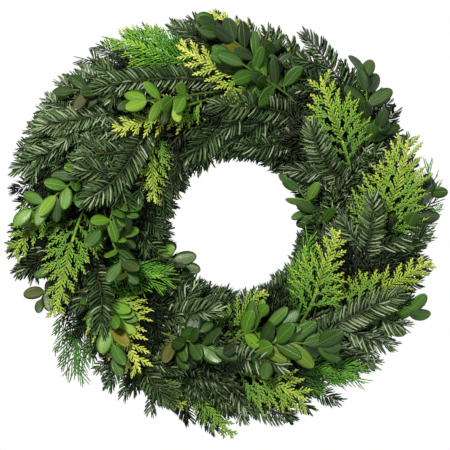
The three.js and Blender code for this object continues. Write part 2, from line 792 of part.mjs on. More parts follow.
// How far outwards a cutting turns from its clamp: the bearing of its tip from the ring's direction.
function bearingOf(cutting) {
  const { tip, clampAngle } = cutting;
  const across = polar(clampAngle, 1, 0);
  const ahead = new THREE.Vector3(-Math.sin(clampAngle), Math.cos(clampAngle), 0);
  return Math.atan2(tip.dot(across) - RING_RADIUS, tip.dot(ahead));
}

// In each clamp, cuttings that turn further out lie further out, lower tips in the lower row.
function fillClamps(cuttings) {
  for (const clamp of new Set(cuttings.map((cutting) => cutting.clamp))) {
    const bundle = cuttings.filter((cutting) => cutting.clamp === clamp);
    bundle.sort((a, b) => bearingOf(a) - bearingOf(b));
    const start = Math.floor((STEM_COLUMNS - bundle.length / 2) / 2);
    for (let i = 0; i < bundle.length; i += 2) {
      const pair = bundle.slice(i, i + 2).sort((a, b) => a.tip.z - b.tip.z);
      pair.forEach((cutting, row) => {
        cutting.row = row;
        cutting.column = start + i / 2;
      });
    }
  }
}

// ---- The ring and its clamps ----

function octagon(thickness) {
  const corner = thickness / 2 / Math.cos(Math.PI / 8);
  return Array.from({ length: 8 }, (_, i) => {
    const angle = Math.PI / 8 + (i * Math.PI) / 4;
    return new THREE.Vector2(Math.cos(angle) * corner, Math.sin(angle) * corner);
  });
}

function ringGeometry() {
  const profile = octagon(RING_WIRE).map((p) => new THREE.Vector2(RING_RADIUS + p.x, RING_WIRE / 2 + p.y));
  profile.push(profile[0].clone());
  const geometry = new THREE.LatheGeometry(profile, RING_STEPS);
  return geometry.rotateX(Math.PI / 2);
}

// The bends of one clamp, closed over its bundle: from one end over its shoulder, across the ring and
// back to the other end.
function clampBends(angle) {
  const half = (CLAMP_WIDTH - CLAMP_WIRE) / 2;
  const high = CLAMP_FLOOR + CLAMP_HEIGHT - CLAMP_WIRE;
  const end = (CLAMP_GAP + CLAMP_WIRE) / 2;
  const corner = CLAMP_CORNER;
  const oneSide = [[end, high], [half - corner, high], [half, high - corner], [half, CLAMP_FLOOR]];
  const otherSide = oneSide.map(([across, height]) => [-across, height]).reverse();
  return [...oneSide, ...otherSide].map(([across, height]) => polar(angle, RING_RADIUS + across, height));
}

// A clamp's wire, as a four-sided tube with a ring of corners at each bend.
function clampGeometry(points, angle) {
  const body = new Growth();
  const along = new THREE.Vector3(-Math.sin(angle), Math.cos(angle), 0);
  const sides = 4;
  const rings = points.map((point, i) => {
    const before = points[Math.max(0, i - 1)];
    const after = points[Math.min(points.length - 1, i + 1)];
    const forward = combine(after, 1, before, -1).normalize();
    const out = forward.clone().cross(along).normalize();
    return Array.from({ length: sides }, (_, k) => {
      const turn = (k * 2 * Math.PI) / sides;
      const reach = CLAMP_WIRE / 2;
      return body.point(combine(point, 1, along, Math.cos(turn) * reach, out, Math.sin(turn) * reach));
    });
  });
  for (let i = 0; i + 1 < rings.length; i += 1) {
    for (let k = 0; k < sides; k += 1) {
      const next = (k + 1) % sides;
      body.quad(rings[i][k], rings[i][next], rings[i + 1][next], rings[i + 1][k]);
    }
  }
  const end = rings[rings.length - 1];
  for (let k = 1; k + 1 < sides; k += 1) {
    body.face(rings[0][0], rings[0][k + 1], rings[0][k]);
    body.face(end[0], end[k], end[k + 1]);
  }
  return { geometry: body.geometry(), rings: rings.map((ring) => body.at(ring)) };
}

function makeRing() {
  let solid = toSolid(ringGeometry());
  for (let i = 0; i < CLAMP_COUNT; i += 1) {
    const angle = (i * 2 * Math.PI) / CLAMP_COUNT;
    const { geometry, rings } = clampGeometry(clampBends(angle), angle);
    solid = solid.add(toSolid(geometry));
    for (let k = 0; k + 1 < rings.length; k += 1) {
      settle([...rings[k], ...rings[k + 1]], 'ring', 'clamp');
    }
  }
  for (let i = 0; i < RING_STEPS; i += 1) {
    const ends = [i, i + 1].map((n) => (n * 2 * Math.PI) / RING_STEPS);
    const corners = ends.flatMap((angle) =>
      octagon(RING_WIRE).map((p) => polar(angle, RING_RADIUS + p.x, RING_WIRE / 2 + p.y)));
    settle(corners, 'ring', 'wire');
  }
  return toGeometry(solid);
}

// ---- The wreath ----

function addMesh(group, geometry, name, colour, roughness, metalness) {
  const material = new THREE.MeshStandardMaterial({ color: colour, roughness, metalness });
  const mesh = new THREE.Mesh(geometry, material);
  mesh.name = name;
  group.add(mesh);
}

function makeWreath() {
  const wreath = new THREE.Group();
  const random = makeRandom(SEED);
  addMesh(wreath, makeRing(), 'clamp_ring', COLOURS.ring, 0.5, 0.6);
  const cuttings = readCuttings();
  const lowFirst = [...cuttings].sort((a, b) => a.height - b.height);
  lowFirst.forEach(placeMainStem);
  const topFirst = [...lowFirst].reverse();
  topFirst.forEach(placeShoots);
  for (const cutting of topFirst) {
    cutting.geometry = growCutting(cutting, random);
  }
  for (const cutting of cuttings) {
    addMesh(wreath, cutting.geometry, cutting.name, COLOURS[cutting.kind], 0.7, 0);
  }
  return wreath;
}

export default makeWreath();
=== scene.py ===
"""The looks of a fresh evergreen wreath: fir, cypress and boxwood cuttings clamped in bundles round a
wire ring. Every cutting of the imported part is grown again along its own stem, with side shoots and all
of its needles, scales or leaves. Lengths are in millimetres until a mesh is made."""

import math
from dataclasses import dataclass
from types import SimpleNamespace as Record

import bpy
import numpy as np
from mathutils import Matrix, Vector, kdtree


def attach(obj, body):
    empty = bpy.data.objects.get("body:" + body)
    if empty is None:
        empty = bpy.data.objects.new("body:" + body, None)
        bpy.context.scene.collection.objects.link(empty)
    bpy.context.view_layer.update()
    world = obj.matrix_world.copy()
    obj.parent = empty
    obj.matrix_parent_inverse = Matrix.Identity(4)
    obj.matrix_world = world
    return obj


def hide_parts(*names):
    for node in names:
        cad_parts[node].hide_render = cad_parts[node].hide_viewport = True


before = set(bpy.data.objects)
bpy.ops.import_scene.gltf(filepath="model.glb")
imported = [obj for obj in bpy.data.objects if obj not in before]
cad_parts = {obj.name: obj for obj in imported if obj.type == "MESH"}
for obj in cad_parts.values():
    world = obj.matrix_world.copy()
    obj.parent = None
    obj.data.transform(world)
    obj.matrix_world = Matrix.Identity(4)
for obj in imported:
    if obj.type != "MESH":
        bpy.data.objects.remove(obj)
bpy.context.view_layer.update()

# ---- Dimensions of the part, as in its source ----

MM = 0.001
RING_RADIUS = 101.5
RING_WIRE = 4.2
CLAMP_COUNT = 10
CLAMP_WIRE = 2.6
CLAMP_WIDTH = 20
CLAMP_HEIGHT = 13.4
CLAMP_GAP = 5
CLAMP_BEND = 2.24  # radius of its corners, which the part has cut off straight
CLAMP_FLOOR = RING_WIRE + 0.2 * CLAMP_WIRE
BUNDLE_FLOOR = CLAMP_FLOOR + 0.6 * CLAMP_WIRE
CLAMP_BEHIND = 52  # degrees from a cutting's tip back to its clamp

STEM_THICKNESS = 2.4
STEM_TIP = 1.1
STEM_TAIL = 13  # behind its clamp
STEM_PITCH = 3.1  # between stems in a clamp
STEM_COLUMNS = 4
STEM_AHEAD = 4  # straight on from its clamp
LEAVING_PULL = 0.34  # of the way to its tip, along which a stem keeps to the ring's direction
ARRIVING_PULL = 0.38  # of that way, along which it points as its tip does
ARRIVING_TILT = 0.8  # how much of the slope of the wreath's face a tip follows
SINK = 8
BARE_STEP = 18
LIFTS = (0, 4, -4, 8, -8, 12, -12, 17, 23, 30)  # how far a stem may swing upwards on its way
ASIDES = (0, 5, -5, 10, -10, 16, -16, 23, -23)  # and outwards

FACE_HEIGHT = 60
FACE_CREST = 102
FACE_OUTER = 71
FACE_INNER = 59
FACE_ROUND = 0.9
LEAFY_END = 8
LOWEST_TIP = 5
LEAF_BASE = 2.2

# For each kind: how its nodes are called, and from where and how often its stem has leafy corners.
KINDS = {
    "boxwood": Record(node="boxwood_sprig", leafy_from=0.62, leafy_step=15),
    "golden_cypress": Record(node="golden_cypress", leafy_from=0.48, leafy_step=8),
    "green_cypress": Record(node="green_cypress", leafy_from=0.48, leafy_step=8),
    "fir": Record(node="fir_spray", leafy_from=0.44, leafy_step=4.4),
}

# For each cutting, as in the part's source: tip angle, tip distance from the middle, lean outwards,
# height as a share of the face's, and size of its leaves. Last: how bright it is, from 0 to 1.
CUTTINGS = {
    "boxwood": [
        (93, 153, 46, 0.92, 1.0, 0.35), (88, 128, 32, 0.97, 1.0, 0.45), (127, 118, 36, 0.98, 0.9, 0.75),
        (139, 160, 58, 0.85, 0.8, 0.3), (176, 153, 66, 0.92, 0.9, 0.65), (183, 100, 60, 0.98, 0.9, 0.6),
        (206, 81, 0, 0.95, 0.9, 0.5), (225, 42, -25, 0.9, 0.9, 0.5), (202, 155, 55, 0.55, 0.8, 0.45),
        (230, 132, 34, 0.97, 1.0, 0.8), (269, 98, 24, 1.0, 1.0, 0.4), (299, 94, 45, 0.97, 1.0, 0.65),
        (308, 118, 38, 0.97, 1.1, 0.6), (335, 158, 49, 0.85, 0.9, 0.45), (33, 57, -14, 0.85, 0.8, 0.6),
        (47, 158, 47, 0.9, 1.0, 0.35), (9, 160, 40, 0.6, 0.9, 0.4),
    ],
    "golden_cypress": [
        (94, 166, 39, 0.5, 0.8, 0.9), (105, 143, 50, 0.97, 1.0, 0.95), (140, 113, 36, 0.8, 0.9, 0.85),
        (162, 50, -34, 0.9, 0.9, 0.7), (188, 166, 47, 0.7, 1.0, 0.5), (208, 149, 46, 0.9, 1.0, 0.6),
        (240, 130, 40, 0.93, 1.1, 0.95), (257, 146, 38, 0.65, 0.9, 0.6), (272, 167, 62, 0.5, 0.9, 0.4),
        (295, 151, 62, 0.92, 1.1, 0.65), (301, 56, -9, 0.85, 0.9, 0.6), (357, 88, 25, 0.95, 1.0, 0.7),
        (350, 163, 60, 0.85, 1.0, 0.75), (25, 155, 42, 1.0, 1.2, 0.7), (57, 135, 44, 1.0, 1.1, 0.6),
    ],
    "green_cypress": [
        (119, 165, 58, 0.93, 1.1, 0.75), (219, 53, -60, 0.9, 0.9, 0.6), (225, 166, 55, 0.5, 1.0, 0.2),
        (311, 156, 60, 0.7, 1.0, 0.45), (345, 60, -15, 0.8, 0.9, 0.55), (14, 164, 31, 0.4, 0.9, 0.4),
    ],
    "fir": [
        (131, 140, 32, 0.85, 1.0, 0.5), (151, 160, 58, 0.88, 1.0, 0.65), (164, 165, 56, 0.75, 1.0, 0.62),
        (168, 106, 50, 0.97, 1.15, 0.5), (192, 160, 70, 0.4, 1.0, 0.35), (218, 122, 47, 0.9, 1.0, 0.4),
        (251, 139, 27, 0.85, 1.0, 0.45), (287, 152, 29, 0.55, 1.0, 0.5), (290, 113, 34, 0.9, 1.1, 0.72),
        (261, 63, -13, 0.85, 1.0, 0.6), (337, 141, 47, 0.93, 1.1, 0.65), (356, 152, 50, 0.55, 1.0, 0.35),
        (8, 110, 5, 0.95, 1.0, 0.62), (12, 60, -12, 0.6, 1.0, 0.35), (47, 99, 34, 0.9, 1.0, 0.68),
        (65, 155, 27, 0.7, 1.0, 0.4), (73, 60, -12, 0.8, 1.0, 0.5), (91, 88, 0, 1.0, 1.1, 0.48),
        (102, 155, 39, 0.5, 1.0, 0.55), (113, 58, -12, 0.75, 1.1, 0.4), (186, 60, -12, 0.5, 1.0, 0.4),
    ],
}  # fmt: skip

# ---- Dimensions of the foliage ----

SEED = 7
TOP_LIMIT = 70.5  # foliage stays under this height
FLOOR_LIMIT = 0.4
OUTER_LIMIT = 169.5
HOLE_MIDDLE = np.array([9.0, 0.5])  # the foliage is thicker on one side, so the hole is off centre
HOLE_RADIUS = 41
TWIG_MARGIN = 10  # between the hole and the twigs round it
# How far the fir reaches from the middle, every 30 degrees anticlockwise from +X.
FIR_REACH = (154, 157, 147, 152, 160, 168, 168, 156, 148, 150, 151, 155)
SHOWN_HEIGHT = 0.7  # leaves and fans of cuttings that lie higher than this stay in view

NEEDLE_LENGTH = 13
NEEDLE_WIDTH = 1.3
FAR_NEEDLE_WIDTH = 1.56
NEEDLE_THICKNESS = 0.55
NEEDLE_STEP = 1.95  # between needles of one row
NEEDLE_SWAY = 0.2  # how far needles curve sideways, as a share of their length
NEEDLE_PAST_REACH = 13
FAR_NEEDLE_PAST_REACH = 4
# Rows of needles round a twig: from and to degrees round it, slant, share of the full number, how much
# brighter than its twig's shade. That last value is painted light on the rows over the twig and painted
# shade on the row under it.
NEEDLE_ROWS = [
    (2, 10, 66, 1.0, 0.04),
    (170, 178, 66, 1.0, 0.04),
    (24, 40, 60, 0.5, 0.24),
    (140, 156, 60, 0.5, 0.24),
    (76, 104, 40, 0.15, 0.3),
    (200, 340, 60, 0.3, -0.4),
]
FIR_BUD = 5  # how far the needles at its end stand past its stem
BRANCH_STEP = 24  # between pairs of side twigs on a fir spray
BRANCH_RADIUS = 0.75
LONGEST_BRANCH = 44
FORKED_BRANCH = 36  # longer ones have side twigs of their own
FORK_SHARE = 0.45
FORK_RADIUS = 0.55

# Where the low twigs under the face of the wreath end, as shares of the way from the hole to the edge.
FILL_PLACES = (0.0, 0.12, 0.26, 0.4, 0.54, 0.68, 0.82, 0.96)
FILL_INNER = 55
FILL_MARGIN = 13  # from the fir's full reach
FILL_LEVELS = (0.55, 0.3)  # shares of the face's height, in turn
FILL_RADIUS = 0.9
FILL_NEEDLE = 12
FILL_NEEDLE_STEP = 2.0
FILL_BRANCH_STEP = 17
FILL_BRANCH_RADIUS = 0.6
FILL_BRANCH_NEEDLE = 11.5
# Painted shade of the low twigs: black deep in the wreath, and painted lighter where they show at the
# hole and the outer edge.
DEEP_FILL_PAINTED_SHADOW = 0.0
EDGE_FILL_PAINTED_LIGHT = 0.4  # of the low twigs that show at the hole and at the outer edge
# Fir sprays whose low twigs no other cutting covers. Those twigs get painted light instead of the
# painted shadow.
OPEN_FILL = ("fir_spray_07", "fir_spray_08", "fir_spray_10", "fir_spray_13", "fir_spray_14")
OPEN_FILL_PAINTED_LIGHT = 0.5

# A fan of cypress: from where on its stem and how often it has a branchlet, left and right in turn, how
# long the longest one is, how that grows with the fan's size, and its slant.
FANS = {
    "golden_cypress": Record(first=0.46, step=5.2, reach=31, growth=2.2, slant=48),
    "green_cypress": Record(first=0.4, step=5.4, reach=46, growth=1, slant=30),
}
TWIGLETS = Record(length=5.6, slant=36, step=1.7, width=1.55)
FEATHER_TWIGLETS = Record(length=4.2, slant=36, step=1.7, width=1.395)
TIP_TWIGLETS = Record(length=8, slant=40, step=1.7, width=1.86)
THREADS = Record(length=17, slant=22, step=2.7, width=1.15)  # what green cypress has instead
FEATHERED_BRANCHLET = 20  # longer ones have feathers, which are small branchlets of their own
FEATHER_STEP = 4.6
SCALE_STEP = 4  # along the middle of a branchlet
TIP_AGE = 0.35
AGEING = 0.6  # how much yellower a branchlet's end is than its foot

LEAF_LENGTH = 21
LEAF_WIDTH = 11.5
LEAF_THICKNESS = 0.5
LEAF_PAIR_STEP = 10.5
# Turns sideways and upwards, in degrees, tried one by one until a leaf is clear of the others.
LEAF_TRIES = ((0, 0), (8, 14), (-8, -14), (0, 28), (14, 34), (-12, -28))
SHOOT_SHARES = (0.7, 0.58)  # where a boxwood stem has its side shoots

UP = np.array([0.0, 0.0, 1.0])
WOOD, LEAF, CUT = 0, 1, 2  # material slots of every cutting
VALUES = ("shade", "along", "across", "warm")  # what the materials read at each point of a mesh

# ---- Vectors ----


def unit(vectors):
    return vectors / np.maximum(np.linalg.norm(vectors, axis=-1, keepdims=True), 1e-9)


def polar(angle, distance, height):
    return np.array([math.cos(angle) * distance, math.sin(angle) * distance, height])


def ring_direction(angle):
    return np.array([-math.sin(angle), math.cos(angle), 0.0])


def level_distance(points, middle=(0, 0)):
    """How far points are from a middle, as seen from above."""
    return np.hypot(points[..., 0] - middle[0], points[..., 1] - middle[1])


def lean_out(forward, out, slant):
    """A direction slanted in degrees from forward towards out."""
    angle = np.radians(slant)
    if np.ndim(angle):
        angle = angle[:, None]
    return unit(forward * np.cos(angle) + out * np.sin(angle))


def face_offset(distance):
    """How far down the wreath's rounded face a distance from its middle is: 0 at the crest, 1 outside
    and -1 in the hole."""
    offset = np.asarray(distance, float) - FACE_CREST
    return offset / np.where(offset > 0, FACE_OUTER, FACE_INNER)


def face_height(distance):
    return FACE_HEIGHT * np.sqrt(np.maximum(0, 1 - face_offset(distance) ** 2))


def face_normal(points):
    """Which way the face looks at points: up at the crest, outwards at its edges."""
    flat = points * [1, 1, 0]
    distance = np.maximum(np.linalg.norm(flat, axis=-1, keepdims=True), 1e-6)
    return unit(UP + flat / distance * (FACE_ROUND * face_offset(distance)))


class Line:
    """A smooth line through close points, read by its length."""

    def __init__(self, points):
        self.points = np.asarray(points, float)
        pieces = np.linalg.norm(np.diff(self.points, axis=0), axis=1)
        self.lengths = np.concatenate([[0], np.cumsum(pieces)])
        self.total = self.lengths[-1]

    def at(self, lengths):
        columns = [np.interp(lengths, self.lengths, self.points[:, k]) for k in range(3)]
        return np.stack(columns, axis=-1)

    def frames(self, lengths, normal=None):
        """Position, forward, left and up at each length. Up follows normal, or the wreath's face."""
        lengths = np.asarray(lengths, float)
        position = self.at(lengths)
        forward = unit(self.at(lengths + 0.6) - self.at(lengths - 0.6))
        wanted = face_normal(position) if normal is None else np.broadcast_to(normal, position.shape)
        left = unit(np.cross(wanted, forward))
        return position, forward, left, np.cross(forward, left)

    def frame(self, length, normal=None):
        """The same at one length."""
        return [rows[0] for rows in self.frames([length], normal)]


def bezier(corners):
    t = np.linspace(0, 1, 120)[:, None]
    a, b, c, d = corners
    return (1 - t) ** 3 * a + 3 * (1 - t) ** 2 * t * b + 3 * (1 - t) * t**2 * c + t**3 * d


# ---- The stems of the part ----


def read_cuttings():
    """All cuttings, each with its seed, its tip and its place in a clamp."""
    cuttings = []
    for kind, rows in CUTTINGS.items():
        for number, (angle, reach, lean, height, size, shade) in enumerate(rows, 1):
            clamp = math.floor((angle - CLAMP_BEHIND) * CLAMP_COUNT / 360 + 0.5)
            cutting = Record(kind=kind, clamp=clamp, height=height, size=size, shade=shade)
            cutting.name = f"{KINDS[kind].node}_{number:02d}"
            cutting.seed = SEED * 100 + len(cuttings)
            cutting.clamp_angle = math.radians(clamp * 360 / CLAMP_COUNT)
            place_tip(cutting, math.radians(angle), reach, math.radians(lean))
            cuttings.append(cutting)
    fill_clamps(cuttings)
    return cuttings


def place_tip(cutting, angle, reach, slope):
    """Where a stem ends, which way it points there, and how far outwards that is from its clamp."""
    end = reach - LEAFY_END * math.sin(slope)
    cutting.tip = polar(angle, end, max(LOWEST_TIP, float(face_height(end)) * cutting.height))
    level = ring_direction(angle) * math.cos(slope) + polar(angle, 1, 0) * math.sin(slope)
    normal = face_normal(cutting.tip)
    cutting.forward = unit(level - normal * (ARRIVING_TILT * level @ normal))
    outwards = cutting.tip @ polar(cutting.clamp_angle, 1, 0) - RING_RADIUS
    cutting.bearing = math.atan2(outwards, cutting.tip @ ring_direction(cutting.clamp_angle))


def fill_clamps(cuttings):
    """Gives each cutting its place in its clamp: turned further out lies further out."""
    for clamp in sorted({cutting.clamp for cutting in cuttings}):
        bundle = sorted((c for c in cuttings if c.clamp == clamp), key=lambda c: c.bearing)
        start = math.floor((STEM_COLUMNS - len(bundle) / 2) / 2)
        for i in range(0, len(bundle), 2):
            for row, cutting in enumerate(sorted(bundle[i : i + 2], key=lambda c: c.tip[2])):
                cutting.row = row
                cutting.column = start + i // 2


def route_of(cutting, lift, aside):
    """A stem's way out of its clamp to its tip, for one swing."""
    radius = RING_RADIUS + (cutting.column - (STEM_COLUMNS - 1) / 2) * STEM_PITCH
    height = BUNDLE_FLOOR + STEM_PITCH * (0.5 + cutting.row)
    ring = ring_direction(cutting.clamp_angle)
    held = polar(cutting.clamp_angle, radius, height)
    out = held + ring * STEM_AHEAD
    tip = cutting.tip
    span = np.linalg.norm(out - tip)
    start = out + ring * (LEAVING_PULL * span) + UP * (lift / 2)
    back = tip - cutting.forward * (ARRIVING_PULL * span)
    end = back + UP * (lift - SINK) + unit(tip * [1, 1, 0]) * aside
    return Line(np.vstack([held - ring * STEM_TAIL, bezier([out, start, end, tip])]))


def steps(start, end, step):
    return np.linspace(start, end, max(1, math.floor((end - start) / step + 0.5)) + 1)


def ring_lengths(total, kind):
    """Where the part's own stem has its corners."""
    leafy = total * KINDS[kind].leafy_from
    bare = steps(0, leafy, BARE_STEP)[:-1]
    if kind == "boxwood":
        pairs = steps(leafy, total - LEAF_BASE, KINDS[kind].leafy_step)
        return np.concatenate([bare, np.stack([pairs, pairs + LEAF_BASE], axis=1).ravel()])
    return np.concatenate([bare, steps(leafy, total, KINDS[kind].leafy_step)])


def stem_thickness(lengths, total):
    return STEM_THICKNESS + (STEM_TIP - STEM_THICKNESS) * lengths / total


def follow_part(cutting):
    """Of the ways a stem may have swung, the one whose corners are in the cutting's own node."""
    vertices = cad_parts[cutting.name].data.vertices
    tree = kdtree.KDTree(len(vertices))
    for i, vertex in enumerate(vertices):
        tree.insert(vertex.co / MM, i)
    tree.balance()

    def miss(route):
        lengths = ring_lengths(route.total, cutting.kind)
        position, _, left, up = route.frames(lengths)
        corners = position + (left + up) * stem_thickness(lengths, route.total)[:, None] / 2
        return sum(tree.find(Vector(corner))[2] for corner in corners) / len(corners)

    cutting.line = min((route_of(cutting, lift, aside) for lift in LIFTS for aside in ASIDES), key=miss)


# ---- Shapes that are stamped many times ----


def skin(rings, sides):
    """The triangles of a closed shape whose points are its foot, rings of sides each, and its tip."""
    tip = rings * sides + 1
    triangles = []
    for k in range(sides):
        after = (k + 1) % sides
        triangles.append((0, 1 + after, 1 + k))
        triangles.append((tip, tip - sides + k, tip - sides + after))
        for start in range(1, tip - sides, sides):
            a = start + k
            b = start + after
            triangles.append((a, b, b + sides))
            triangles.append((a, b + sides, a + sides))
    return np.array(triangles)


def spindle(outline, section):
    """A closed shape along a length: outline rows are (share of length, share of half width), and
    section points are (across, height). Both ends close to a point."""
    foot, *middle, tip = outline
    rings = [(share, side * half, rise) for share, half in middle for side, rise in section]
    along, across, height = np.array([(foot[0], 0, 0), *rings, (tip[0], 0, 0)], float).T
    triangles = skin(len(middle), len(section))
    return Record(along=along, across=across, height=height, triangles=triangles)


NEEDLE_SHAPE = spindle(
    [(0, 0), (0.08, 0.55), (0.45, 1.0), (0.86, 0.85), (1, 0)],
    [(1, 0.6), (0, -1), (-1, 0.6), (0, 0.15)],
)
FAR_NEEDLE_SHAPE = spindle([(0, 0), (0.4, 1.0), (1, 0)], [(1, 0.5), (0, -1), (-1, 0.5)])
TWIGLET_SHAPE = spindle(
    [(0, 0), (0.05, 0.7), (0.22, 1.0), (0.3, 0.66), (0.5, 0.95), (0.58, 0.6), (0.8, 0.75), (1, 0)],
    [(1, 0), (0, -1), (-1, 0), (0, 1)],
)
LEAF_OUTLINE = [
    (-0.02, 0), (0.0, 0.12), (0.06, 0.18), (0.14, 0.54), (0.27, 0.85), (0.44, 1.0), (0.62, 1.0),
    (0.78, 0.86), (0.9, 0.62), (0.97, 0.34), (1.0, 0),
]  # fmt: skip
LEAF_SECTION = [(1, 0), (0.55, -1), (0, -1.2), (-0.55, -1), (-1, 0), (-0.55, 1), (0, 0.7), (0.55, 1)]
LEAF_SHAPE = spindle(LEAF_OUTLINE, LEAF_SECTION)
LEAF_SIDES = len(LEAF_SECTION)


def make_spots(origin, forward, normal, **sizes):
    """Places for a shape: where it starts, which way it goes and faces, and its sizes in columns."""
    left = unit(np.cross(normal, forward))
    spots = Record(origin=origin, forward=forward, left=left, up=np.cross(forward, left))
    for key in ("length", "width", "thickness", "cup", "arch", "sway", "shade", "warm"):
        setattr(spots, key, np.broadcast_to(sizes.get(key, 0.0), len(origin))[:, None])
    return spots


# ---- What is already in place, so that leaves stay clear of each other ----


class Room:
    """Cells of space that foliage has taken, and for each column the height that must stay in view."""

    CELL = 1.25
    SIZE = (280, 280, 60)
    CORNER = (-175, -175, 0)

    def __init__(self):
        self.taken = np.zeros(self.SIZE, bool)
        self.top = np.full(self.SIZE[:2], 1e6)

    def cells(self, points):
        index = np.floor((points - self.CORNER) / self.CELL).astype(int)
        return tuple(np.clip(index[..., k], 0, self.SIZE[k] - 1) for k in range(3))

    def mark(self, points, shown=False):
        """Takes the cells of these points. What is shown stays in view from above."""
        x, y, z = self.cells(points)
        self.taken[x, y, z] = True
        if shown:
            np.minimum.at(self.top, (x, y), points[..., 2])

    def share_taken(self, points):
        """For each row of points, the share of them in cells that are taken."""
        return self.taken[self.cells(points)].mean(axis=-1)

    def hides(self, points):
        """For each row of points, whether one is above what stays in view."""
        x, y, _ = self.cells(points)
        return (points[..., 2] > self.top[x, y] + 1.0).any(axis=-1)


leaf_room = Room()
fan_room = Room()


def in_bounds(points):
    inside = (points[..., 2] > FLOOR_LIMIT) & (points[..., 2] < TOP_LIMIT)
    return (inside & (level_distance(points) < OUTER_LIMIT)).all(axis=-1)


def clear_of_hole(points, margin):
    """Whether all points stay out of the hole, and a margin past it."""
    return (level_distance(points, HOLE_MIDDLE) > HOLE_RADIUS + margin).all(axis=-1)


# ---- One cutting's mesh ----


def add_object(name, data):
    thing = bpy.data.objects.new(name, data)
    bpy.context.scene.collection.objects.link(thing)
    return thing


class Growth:
    """Collects the parts of one cutting."""

    def __init__(self, seed):
        self.random = np.random.default_rng(seed)
        self.parts = []
        self.count = 0

    def add(self, points, triangles, slot, **values):
        full = {key: np.broadcast_to(values.get(key, 0.0), len(points)) for key in VALUES}
        part = Record(points=points, triangles=triangles + self.count, slot=slot, values=full)
        self.parts.append(part)
        self.count += len(points)

    def stamp(self, shape, spots, keep):
        """Sets a shape at many spots at once, except where it is out of bounds or keep says no.
        Returns the points of those that were set, a row for each."""
        across = shape.across * spots.width
        ahead = shape.along * spots.length
        bent = shape.along**2 * spots.length
        aside = across / 2 + bent * spots.sway
        rise = shape.height * spots.thickness / 2 + shape.across * across * spots.cup + bent * spots.arch
        points = spots.origin[:, None] + ahead[..., None] * spots.forward[:, None]
        points = points + aside[..., None] * spots.left[:, None] + rise[..., None] * spots.up[:, None]
        kept = in_bounds(points) & keep(points)
        points = points[kept]
        count, corners = points.shape[:2]
        if count:
            triangles = shape.triangles[None] + (np.arange(count) * corners)[:, None, None]
            self.add(
                points.reshape(-1, 3),
                triangles.reshape(-1, 3),
                LEAF,
                shade=np.repeat(spots.shade[kept], corners),
                along=np.tile(shape.along, count),
                across=np.tile(shape.across, count),
                warm=np.repeat(spots.warm[kept], corners),
            )
        return points

    def tube(self, frames, radii, sides=6, cut=False):
        """A round stem. A cut end shows its wood, and the other end closes to a point."""
        position, forward, left, up = frames
        turns = np.arange(sides) * 2 * math.pi / sides
        out = np.cos(turns)[:, None] * left[:, None] + np.sin(turns)[:, None] * up[:, None]
        rings = position[:, None] + out * np.asarray(radii)[:, None, None]
        tip = position[-1] + forward[-1] * radii[-1] * 2
        points = np.vstack([position[0], rings.reshape(-1, 3), tip])
        along = np.concatenate([[0], np.repeat(np.linspace(0, 1, len(position)), sides), [1]])
        triangles = skin(len(position), sides)[:, ::-1]
        at_end = (triangles == 0).any(axis=1) & cut
        self.add(points, triangles[~at_end], WOOD, along=along)
        if cut:
            self.add(points[: sides + 1], triangles[at_end], CUT, along=np.append(0, np.ones(sides)))

    def to_object(self, name, materials):
        mesh = bpy.data.meshes.new(name)
        points = np.vstack([part.points for part in self.parts]) * MM
        triangles = np.vstack([part.triangles for part in self.parts])
        slots = np.concatenate([np.full(len(part.triangles), part.slot) for part in self.parts])
        mesh.vertices.add(len(points))
        mesh.loops.add(triangles.size)
        mesh.polygons.add(len(triangles))
        mesh.vertices.foreach_set("co", points.astype(np.float32).ravel())
        mesh.loops.foreach_set("vertex_index", triangles.astype(np.int32).ravel())
        mesh.polygons.foreach_set("loop_start", np.arange(0, triangles.size, 3, dtype=np.int32))
        mesh.polygons.foreach_set("material_index", slots.astype(np.int32))
        for key in VALUES:
            values = np.concatenate([part.values[key] for part in self.parts])
            attribute = mesh.attributes.new(key, "FLOAT", "POINT")
            attribute.data.foreach_set("value", values.astype(np.float32))
        for material in materials:
            mesh.materials.append(material)
        mesh.update(calc_edges=True)
        mesh.validate()
        return add_object(name, mesh)


# ---- Stems and twigs ----


def grow_stem(growth, line):
    lengths = np.linspace(0, line.total, 22)
    growth.tube(line.frames(lengths), stem_thickness(lengths, line.total) / 2, sides=7, cut=True)


def side_line(line, length, side, slant, reach, bend, settle, normal=None, count=9, away=0.0):
    """The line of a twig at one side of another line, and which way is up there. It leaves at a slant,
    bends the way the other line goes, and settles along the rounded face of the wreath."""
    position, forward, left, up = line.frame(length, normal)
    start = position + left * side * away
    direction = lean_out(forward, left * side, slant)
    t = np.linspace(0, 1, count)[:, None]
    points = start + direction * (reach * t) + forward * (bend * reach * t**2)
    level = start[2] / max(float(face_height(level_distance(start))), 12.0)
    wanted = np.maximum(face_height(level_distance(points)) * level, 2.0)
    points[:, 2] += (wanted - points[:, 2]) * settle * t[:, 0]
    return end_at_hole(points), up


def end_where(points, beyond):
    """The line of a twig, ended at the first point that is beyond a limit."""
    count = int(np.argmax(beyond)) if beyond.any() else len(points)
    return Line(points[: max(3, count)])


def end_at_hole(points):
    return end_where(points, level_distance(points, HOLE_MIDDLE) < HOLE_RADIUS + TWIG_MARGIN)


def end_at_reach(line):
    """A fir twig's line, ended where it would leave the wreath's outline."""
    return end_where(line.points, level_distance(line.points) > fir_reach(line.points))


def fir_reach(points):
    """How far the fir reaches from the middle, in the directions of some points."""
    angles = np.arctan2(points[:, 1], points[:, 0])
    steps_of_reach = np.arange(len(FIR_REACH)) * 2 * math.pi / len(FIR_REACH)
    return np.interp(angles, steps_of_reach, FIR_REACH, period=2 * math.pi)


# ---- Fir ----


@dataclass
class Needles:
    """How a twig is covered."""

    length: float
    shade: float
    step: float = NEEDLE_STEP
    far: bool = False  # deep in the wreath, where simpler ones do
    ragged: float = 0.0  # how far they stay back from the hole and the outline
    over: bool = False  # whether they may hide other foliage


